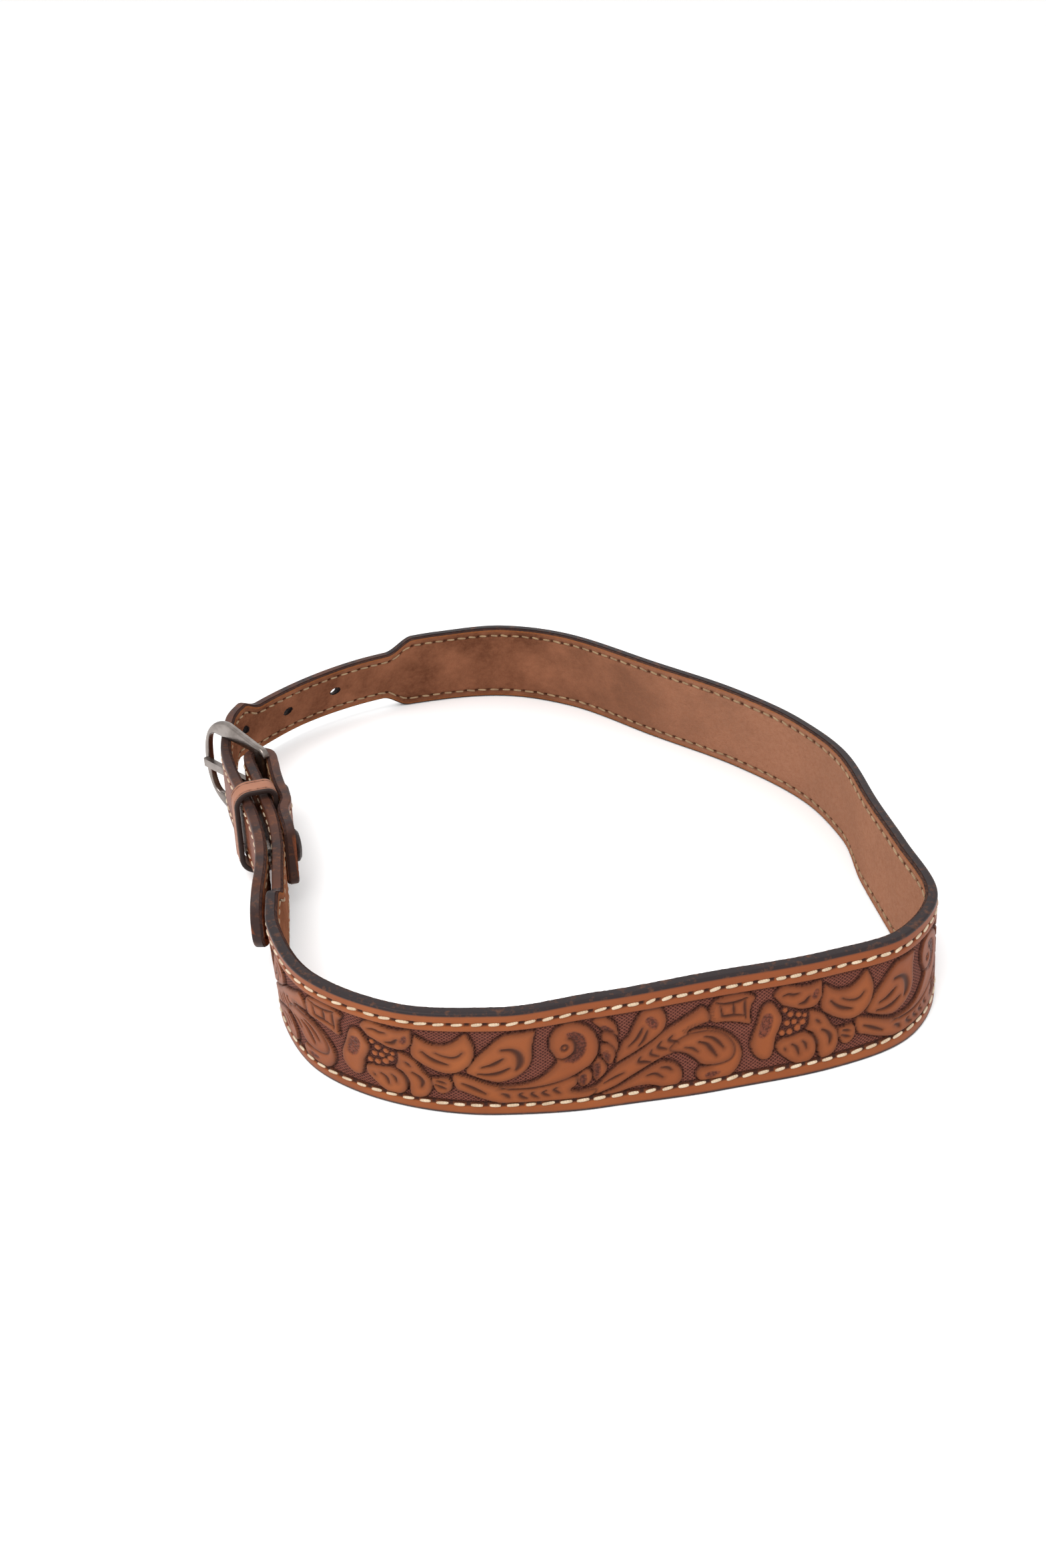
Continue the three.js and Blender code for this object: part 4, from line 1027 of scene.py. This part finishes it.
def lining_piece(name, lengths, material):
    """A length of suede with its rough side in and softly bevelled, fuzzy edges."""
    count = len(lengths)
    half = half_width(lengths)[:, None] - LINING_INSET
    up = np.linspace(-1, 1, LINING_COLUMNS) * (half - EDGE_ROUND)
    length = np.broadcast_to(lengths[:, None], up.shape)
    groove, hole = stitch_groove(length, up, half + LINING_INSET)
    rise = FUZZ * rng.standard_normal(up.shape) - groove * SUEDE_GROOVE
    rise[[0, -1]] = 0
    wobble = EDGE_WOBBLE * rng.standard_normal((count, 1))
    out, high = closed_section(rise, up, half, SURFACE - LINING_THICKNESS, LINING_BENDS, 1, wobble)
    marks = np.zeros(out.shape + (4,))
    strip = smoothstep(np.abs(up), *(half - EDGE_ROUND - place for place in SUEDE_STRIP_FADE))
    marks[:, :LINING_COLUMNS, 2] = strip * (0.5 + 0.5 * rng.random(up.shape))
    # Painted shade in the needle holes
    marks[:, :LINING_COLUMNS, 1] = hole
    marks[:, LINING_COLUMNS:, 3] = 1 - 0.25 * rng.random((count, out.shape[1] - LINING_COLUMNS))
    return strip_piece(name, lengths, -1, out, high, marks, material, 42)


def stitch_shape(rings, sides):
    """A stitch's rings: place from -1 to 1, girth from 0 to 1, and the turn of each side."""
    along = np.cos(np.linspace(np.pi, 0, rings))
    girth = np.sin(np.linspace(0.12, np.pi - 0.12, rings)) ** 0.55
    return along[:, None], girth[:, None], full_turn(sides)


def stitches(name, material, side):
    """Both rows of stitches on one side of the strap, as one piece."""
    along, girth, turn = stitch_shape(7, 8)
    tubes, uvs = [], []
    for row in (-1, 1):
        for start in np.arange(STITCH_START, route.length - STITCH_START, STITCH_PITCH):
            ends = start + STITCH_PITCH * np.array([0, 0.5, 1])
            half = half_width(ends)
            if half.min() < NARROWEST:
                continue
            size = STITCH_LENGTH / 2 * (1 + SIZE_SCATTER * rng.standard_normal())
            tilt = TILT + TILT_SCATTER * rng.standard_normal()
            wide = STITCH_WIDTH / 2 * (1 + SIZE_SCATTER * rng.standard_normal())
            shift = PLACE_SCATTER * rng.standard_normal()
            place = ends[1] + along * size
            middle = row * (np.interp(place, ends, half) - STITCH_INSET)
            up = middle + tilt * along + wide * girth * np.sin(turn)
            lift = SURFACE - STITCH_SINK + STITCH_HEIGHT * girth * np.cos(turn)
            length = np.broadcast_to(place + shift, up.shape)
            tubes.append(wall(length, side * lift, up))
            uvs.append(np.stack([length, up], -1))
    vertices, faces = joined_tubes(tubes, side)
    return make_piece(name, vertices, faces, material, uvs=np.array(uvs), angle=80)


# Holes and slots

heel_centre = np.append(heel_bar + SHIFT, MID_HEIGHT + BUCKLE_LIFT)
leg_axis = np.append(leg_direction, 0)
out_axis = np.append(out_direction, 0)
up_axis = np.array([0.0, 0.0, 1.0])
to_toe = -leg_axis * math.cos(FRAME_SPREAD) + out_axis * math.sin(FRAME_SPREAD)
frame_out = out_axis * math.cos(FRAME_SPREAD) + leg_axis * math.sin(FRAME_SPREAD)
TONGUE_NEAR = FRAME_THICKNESS / 2 + CLEARANCE
TONGUE_FAR = TONGUE_NEAR + TONGUE_THICKNESS
TONGUE_HALF = TONGUE_WIDTH / 2 + TONGUE_ROOM
CUTTER_REACH = 5


def tongue_crossing():
    """The length along the route at which the tongue passes through the billet."""
    lengths = np.arange(FAR_SHOULDER, route.length - BUCKLE_END, SEARCH_STEP)
    offsets = route.station(lengths)[0] - heel_bar
    gaps = np.abs(offsets @ frame_out[:2] - (TONGUE_NEAR + TONGUE_FAR) / 2)
    gaps[offsets @ to_toe[:2] <= 0] = np.inf
    return lengths[np.argmin(gaps)]


crossing = tongue_crossing()


def cutter(rings):
    """A closed cutter from two rings of points, in millimetres, with its faces outward."""
    points = np.concatenate(rings)
    faces = tube_faces(2, len(rings[0]))
    a, b, c = (points[i] - points.mean(0) for i in faces[-1][:3])
    if np.cross(b - a, c - a) @ a < 0:
        faces = [face[::-1] for face in faces]
    mesh = bpy.data.meshes.new("cutter")
    mesh.from_pydata((points * MM).tolist(), [], faces)
    piece = bpy.data.objects.new("cutter", mesh)
    bpy.context.scene.collection.objects.link(piece)
    return piece


def oval_cutter(length):
    """An oval through the strap that slopes down toward the outside."""
    turn = full_turn(28)
    along = length + HOLE_LENGTH / 2 * np.cos(turn)
    high = HOLE_HEIGHT / 2 * np.sin(turn)
    return cutter([wall(along, side, high - HOLE_SAG * side) for side in (-CUTTER_REACH, CUTTER_REACH)])


def box_cutter(first, second, low, high):
    """A box as high as the tongue's opening, between low and high along two axes."""
    corners = ((low[0], low[1]), (high[0], low[1]), (high[0], high[1]), (low[0], high[1]))
    return cutter([np.array([heel_centre + first * a + second * b + up_axis * end for a, b in corners])
                   for end in (-TONGUE_HALF, TONGUE_HALF)])


def tongue_hole():
    place = (route.station(np.array([crossing]))[0][0] - heel_bar) @ to_toe[:2]
    reach = 2.0 * THICKNESS
    return box_cutter(to_toe, frame_out, (place - reach, TONGUE_NEAR - TONGUE_ROOM),
                      (place + reach, TONGUE_FAR + TONGUE_ROOM))


def tongue_slot():
    reach = FOLD_RADIUS + THICKNESS * 0.8
    return box_cutter(leg_axis, out_axis, (-reach, -reach), (TONGUE_FAR + CLEARANCE, reach))


def cut_out(piece, cutters):
    """Takes the cutters' shapes out of a piece, and the cutters out of the scene."""
    for tool in cutters:
        modifier = piece.modifiers.new("hole", "BOOLEAN")
        modifier.object = tool
        modifier.solver = "EXACT"
    depsgraph = bpy.context.evaluated_depsgraph_get()
    mesh = bpy.data.meshes.new_from_object(piece.evaluated_get(depsgraph))
    piece.modifiers.clear()
    piece.data = mesh
    for tool in cutters:
        bpy.data.objects.remove(tool)


def cut_openings(buckle_end, billet):
    cut_out(buckle_end, [tongue_slot()])
    holes = [oval_cutter(crossing - FIRST_HOLE - hole * HOLE_SPACING) for hole in range(OPEN_HOLES)]
    cut_out(billet, [*holes, tongue_hole()])


def steps_between(start, stop, pitch):
    return np.linspace(start, stop, int(round((stop - start) / pitch)) + 1)


def buckle_end_lengths():
    fold = FOLD_RADIUS * math.pi / 2 + 3
    return np.concatenate([
        np.array([0, 0.1, 0.3, 0.6, 1.0, 1.5]), steps_between(2.1, HEEL_LENGTH - fold, PLAIN_STEP),
        steps_between(HEEL_LENGTH - fold, HEEL_LENGTH + fold, FOLD_STEP)[1:],
        steps_between(HEEL_LENGTH + fold, NEAR_SHOULDER, PLAIN_STEP)[1:],
    ])


def billet_lengths():
    tip = route.length - TIP_LENGTH
    rounding = TIP_LENGTH * np.sin(np.linspace(0, math.pi / 2, 26))[1:]
    return np.concatenate([steps_between(FAR_SHOULDER, tip, PLAIN_STEP), tip + rounding])


def build_strap():
    canvas = draw_tooling()
    leather = tooled_leather()
    middle = (NEAR_SHOULDER + FAR_SHOULDER) / 2
    near, far = (steps_between(start, stop, TOOLED_STEP)
                 for start, stop in ((NEAR_SHOULDER, middle), (middle, FAR_SHOULDER)))
    buckle_end = face_piece("strap_buckle_end", buckle_end_lengths(), leather)
    first = face_piece("strap_tooled_1", near, leather, canvas)
    second = face_piece("strap_tooled_2", far, leather, canvas)
    billet = face_piece("strap_billet", billet_lengths(), leather)
    cut_openings(buckle_end, billet)
    row = stitches("stitches_outer", thread("thread_outer", *OUTER_THREAD), 1)
    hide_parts("strap")
    return [buckle_end, first, second, billet, row]


def build_lining():
    suede = suede_leather()
    buckle_end = lining_piece("lining_buckle_end", buckle_end_lengths()[1:], suede)
    wide = lining_piece("lining_wide", steps_between(NEAR_SHOULDER, FAR_SHOULDER, LINING_STEP), suede)
    billet = lining_piece("lining_billet", billet_lengths()[:-1], suede)
    cut_openings(buckle_end, billet)
    row = stitches("stitches_inner", thread("thread_inner", *INNER_THREAD), -1)
    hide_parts("lining")
    return [buckle_end, wide, billet, row]


# The keeper

KEEPER_BEND = 2.2
KEEPER_EDGE = 0.5
KEEPER_COLUMNS = 30
KEEPER_STITCH_PITCH = 2.7
KEEPER_STITCH_INSET = 1.7
KEEPER_STITCH_HALF = 0.95
KEEPER_STITCH_WIDTH = 0.3
KEEPER_STITCH_HEIGHT = 0.22
KEEPER_STITCH_SINK = 0.08
KEEPER_GROOVE_DEPTH = 0.16
KEEPER_NEEDLE_DEPTH = 0.2
KEEPER_NEEDLE_REACH = 0.5
KEEPER_FOOT = 0.3
KEEPER_INNER_INSET = 1.2
KEEPER_OUTLINE_STEP = 0.45


def keeper_outline():
    """Points (out, up) and normals of the keeper's inner outline, from the middle of its inner side."""
    left = leg_out(KEEPER_ALONG) - THICKNESS / 2 - KEEPER_ROOM
    right = ride_out(KEEPER_ALONG) + THICKNESS / 2 + KEEPER_SLACK
    half = BILLET_WIDTH / 2 + 2 * KEEPER_SLACK
    small, large = KEEPER_BEND, 2 * KEEPER_BEND
    # Each side: its start and stop, then the bend after it
    sides = (
        ((left + small, -half), (right - large, -half), large),
        ((right, -half + large), (right, half - large), large),
        ((right - large, half), (left + small, half), small),
        ((left, half - small), (left, -half + small), small),
    )
    points, normals = [], []
    for number, (start, stop, radius) in enumerate(sides):
        facing = (number - 1) * math.pi / 2
        normal = np.round([math.cos(facing), math.sin(facing)])
        step = np.subtract(stop, start)
        count = int(np.linalg.norm(step) / KEEPER_OUTLINE_STEP)
        for share in np.arange(count) / count:
            points.append(start + step * share)
            normals.append(normal)
        for turn in facing + np.linspace(0, math.pi / 2, 12, endpoint=False):
            bent = np.array([math.cos(turn), math.sin(turn)])
            points.append(stop + (bent - normal) * radius)
            normals.append(bent)
    return np.array(points), np.array(normals)


def keeper_place(points, normals, across, depth):
    """Points from the outline, a place across the band and a depth over it."""
    section = points + normals * depth[..., None]
    along = KEEPER_ALONG + across
    return (heel_centre + leg_axis * along[..., None] + out_axis * section[..., :1]
            + up_axis * section[..., 1:])


def build_keeper_band(points, normals, run, pitch, row):
    """The band with its stitch lines: outer side, rounded edge, inner side, rounded edge."""
    reach = KEEPER_WIDTH / 2
    across = np.linspace(-reach + KEEPER_EDGE, reach - KEEPER_EDGE, KEEPER_COLUMNS)
    beside = dome(np.abs(across) - row, KEEPER_NEEDLE_REACH)
    hole = dome(around_nearest(run, pitch), KEEPER_NEEDLE_REACH)[:, None] * beside
    turn = np.radians([30, 60, 90])
    side_across = np.append(reach - KEEPER_EDGE * (1 - np.sin(turn)), [reach, reach - KEEPER_FOOT])
    side_depth = np.append(KEEPER_THICKNESS - KEEPER_EDGE * (1 - np.cos(turn)), [KEEPER_FOOT, 0])
    inner = np.linspace(reach - KEEPER_INNER_INSET, -reach + KEEPER_INNER_INSET, 6)
    spread = np.concatenate([across, side_across, inner, -side_across[::-1]])
    below = np.concatenate([side_depth, np.zeros(len(inner)), side_depth[::-1]])
    count = len(points)
    top = KEEPER_THICKNESS - KEEPER_GROOVE_DEPTH * beside - KEEPER_NEEDLE_DEPTH * hole
    depth = np.concatenate([top, np.broadcast_to(below, (count, len(below)))], 1)
    marks = np.zeros(depth.shape + (4,))
    # Painted shade in the needle holes
    marks[:, :KEEPER_COLUMNS, 1] = hole
    marks[:, :KEEPER_COLUMNS, 3] = smoothstep(np.abs(across), reach - 1.0, reach - 0.55)
    marks[:, KEEPER_COLUMNS:KEEPER_COLUMNS + len(side_across), 3] = 1
    marks[:, -len(side_across):, 3] = 1
    spread = np.broadcast_to(spread, depth.shape)
    vertices = keeper_place(points[:, None], normals[:, None], spread, depth)
    uvs = np.stack([np.broadcast_to(run[:, None], depth.shape), spread], -1)
    faces = tube_faces(*depth.shape, closed=True)
    band = make_piece("keeper_band", vertices, faces, keeper_leather(),
                      marks, uvs, angle=60)
    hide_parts("keeper")
    return band


def build_keeper():
    points, normals = keeper_outline()
    gaps = np.linalg.norm(points - np.roll(points, 1, 0), axis=1)
    run = np.cumsum(gaps) - gaps[0]
    total = gaps.sum()
    pitch = total / round(total / KEEPER_STITCH_PITCH)
    row = KEEPER_WIDTH / 2 - KEEPER_STITCH_INSET
    band = build_keeper_band(points, normals, run, pitch, row)
    along, girth, turn = stitch_shape(6, 6)
    lift = KEEPER_THICKNESS - KEEPER_STITCH_SINK + KEEPER_STITCH_HEIGHT * girth * np.cos(turn)
    tubes = []
    for sign in (-1, 1):
        across = sign * row + KEEPER_STITCH_WIDTH * girth * np.sin(turn)
        for middle in np.arange(pitch / 2, total, pitch):
            place = (middle + along * KEEPER_STITCH_HALF) % total
            base, facing = (
                np.stack([np.interp(place, run, values[:, i], period=total) for i in range(2)], -1)
                for values in (points, normals))
            tubes.append(keeper_place(base, facing, across, lift))
    vertices, faces = joined_tubes(tubes)
    sewing = make_piece("keeper_stitches", vertices, faces, thread("thread_keeper", *KEEPER_THREAD),
                        angle=80)
    return [band, sewing]


# The buckle

FRAME_HALF = BILLET_WIDTH / 2 + FRAME_ROOM
FRAME_POINTS = 60
FRAME_SIDES = 28
FRAME_SQUARENESS = 0.62


def bezier(points, count):
    """Points of a line or curve of any degree, without its last one."""
    share = np.arange(count)[:, None] / count
    rows = [np.broadcast_to(np.array(point, float), (count, 2)) for point in points]
    while len(rows) > 1:
        rows = [a * (1 - share) + b * share for a, b in zip(rows, rows[1:])]
    return rows[0]


def half_line(curves, toe):
    """A line through Bezier curves (control points, count) to the toe, and its mirror image back."""
    line = np.concatenate([*(bezier(*curve) for curve in curves), [(toe, 0)]])
    run = run_of(line)
    line = read_line(line, run, np.linspace(0, run[-1], FRAME_POINTS))
    return np.concatenate([line, line[-2::-1] * (1, -1)])


def frame_lines():
    """The outer and inner line of the frame, toward the toe and up, round from its lower heel end."""
    half = FRAME_HALF + RAIL_HEIGHT
    heel_half = FRAME_HALF + RAIL_HEIGHT / 2
    heel = -BAR_RADIUS * 2.3
    shoulder = -heel * 0.2
    bend = FRAME_LENGTH / 2
    toe = FRAME_LENGTH - TOE_BAR_WIDTH
    inner_bend = toe - FRAME_HALF * 0.42
    outer = half_line((
        (((heel, -FRAME_HALF), (heel, -heel_half), (shoulder, -heel_half)), 12),
        (((shoulder, -heel_half), (bend, -half)), 12),
        (((bend, -half), (FRAME_LENGTH * 0.82, -half), (FRAME_LENGTH, -half * 0.55),
          (FRAME_LENGTH, 0)), 30),
    ), FRAME_LENGTH)
    inner = half_line((
        (((heel, -FRAME_HALF + 0.05), (inner_bend, -FRAME_HALF + 0.05)), 20),
        (((inner_bend, -FRAME_HALF), (toe - FRAME_HALF * 0.12, -FRAME_HALF),
          (toe, -FRAME_HALF * 0.75), (toe, 0)), 30),
    ), toe)
    return outer, inner


def build_frame(material):
    """The frame as a smooth casting with rounded sides, and the round heel bar through it."""
    outer_line, inner_line = (line[:, None] for line in frame_lines())
    turn = full_turn(FRAME_SIDES)
    across, rise = (np.sign(wave) * np.abs(wave) ** FRAME_SQUARENESS
                    for wave in (np.cos(turn), np.sin(turn)))
    plane = (outer_line + inner_line) / 2 + (outer_line - inner_line) / 2 * across[:, None]
    rails = (heel_centre + to_toe * plane[..., :1] + up_axis * plane[..., 1:]
             + frame_out * rise[:, None] * FRAME_THICKNESS / 2)
    bar_half = FRAME_HALF + RAIL_HEIGHT / 4
    ends = np.array([-bar_half, bar_half])[:, None, None]
    ring = leg_axis * np.cos(turn)[:, None] + out_axis * np.sin(turn)[:, None]
    bar = heel_centre + up_axis * ends + BAR_RADIUS * ring
    first = len(rails) * FRAME_SIDES
    faces = tube_faces(len(rails), FRAME_SIDES)
    faces += [[first + i for i in face] for face in tube_faces(2, FRAME_SIDES)]
    casting = make_piece("frame_casting", np.concatenate([rails, bar]), faces, material,
                         angle=50)
    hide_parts("buckle_frame")
    return casting


# The tongue and the snaps keep their CAD meshes, with softened edges

def dress_node(name, material, width):
    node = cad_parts[name]
    node.data.materials.clear()
    node.data.materials.append(material)
    bevel = node.modifiers.new("soft_edges", "BEVEL")
    bevel.width = width * MM
    bevel.segments = 3
    bevel.limit_method = "ANGLE"
    bevel.angle_limit = math.radians(35)
    bevel.harden_normals = True


def dress_hardware():
    nickel = satin_metal("satin_nickel", *NICKEL)
    dark = satin_metal("dark_snap", *DARK_SNAP)
    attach(build_frame(nickel), "root")
    dress_node("buckle_tongue", nickel, 0.5)
    for number in (1, 2):
        dress_node(f"snap_cap_{number}", dark, 0.4)
        dress_node(f"snap_stud_{number}", nickel, 0.2)


# The stage, in metres

FLOOR_REACH = 6.0
WORLD_STRENGTH = 1.03
LIGHT_TARGET = (0, 0, 0.02)
# Name, place, size, power
LIGHTS = (
    ("key", (-0.35, -0.5, 0.9), 0.7, 9.0),
    ("fill", (0.7, -0.6, 0.7), 0.8, 1.0),
    ("back", (0.1, 0.8, 0.8), 0.7, 1.0),
)
CAMERA_PLACE = (-0.00610, -0.46327, 0.3056)
CAMERA_TILT = math.radians(59.485)
CAMERA_LENS = 34.316
CAMERA_SENSOR = 36


def make_floor():
    mesh = bpy.data.meshes.new("floor")
    corners = [(x * FLOOR_REACH, y * FLOOR_REACH, 0) for x, y in ((-1, -1), (1, -1), (1, 1), (-1, 1))]
    mesh.from_pydata(corners, [], [(0, 1, 2, 3)])
    floor = bpy.data.objects.new("floor", mesh)
    bpy.context.scene.collection.objects.link(floor)
    mesh.materials.append(Look("floor").done(FLOOR_WHITE, 0.9, 0.1))


def area_light(name, place, size, energy):
    lamp = bpy.data.lights.new(name, "AREA")
    lamp.shape = "SQUARE"
    lamp.size = size
    lamp.energy = energy
    light = bpy.data.objects.new(name, lamp)
    light.location = place
    aim = np.subtract(LIGHT_TARGET, place)
    flat = math.hypot(aim[0], aim[1])
    light.rotation_euler = (math.atan2(flat, -aim[2]), 0, math.atan2(-aim[0], aim[1]))
    bpy.context.scene.collection.objects.link(light)


def make_light():
    world = bpy.data.worlds.new("studio")
    world.use_nodes = True
    background = world.node_tree.nodes["Background"]
    background.inputs["Color"].default_value = (1, 1, 1, 1)
    background.inputs["Strength"].default_value = WORLD_STRENGTH
    bpy.context.scene.world = world
    for light in LIGHTS:
        area_light(*light)


def make_camera():
    data = bpy.data.cameras.new("camera")
    data.lens = CAMERA_LENS
    data.sensor_width = CAMERA_SENSOR
    camera = bpy.data.objects.new("camera", data)
    camera.location = CAMERA_PLACE
    camera.rotation_euler = (CAMERA_TILT, 0, 0)
    bpy.context.scene.collection.objects.link(camera)
    bpy.context.scene.camera = camera


strap_pieces = build_strap()
lining_pieces = build_lining()
keeper_pieces = build_keeper()
for piece in strap_pieces + lining_pieces + keeper_pieces:
    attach(piece, "root")
dress_hardware()
make_floor()
make_light()
make_camera()
bpy.context.scene.view_settings.view_transform = "Standard"
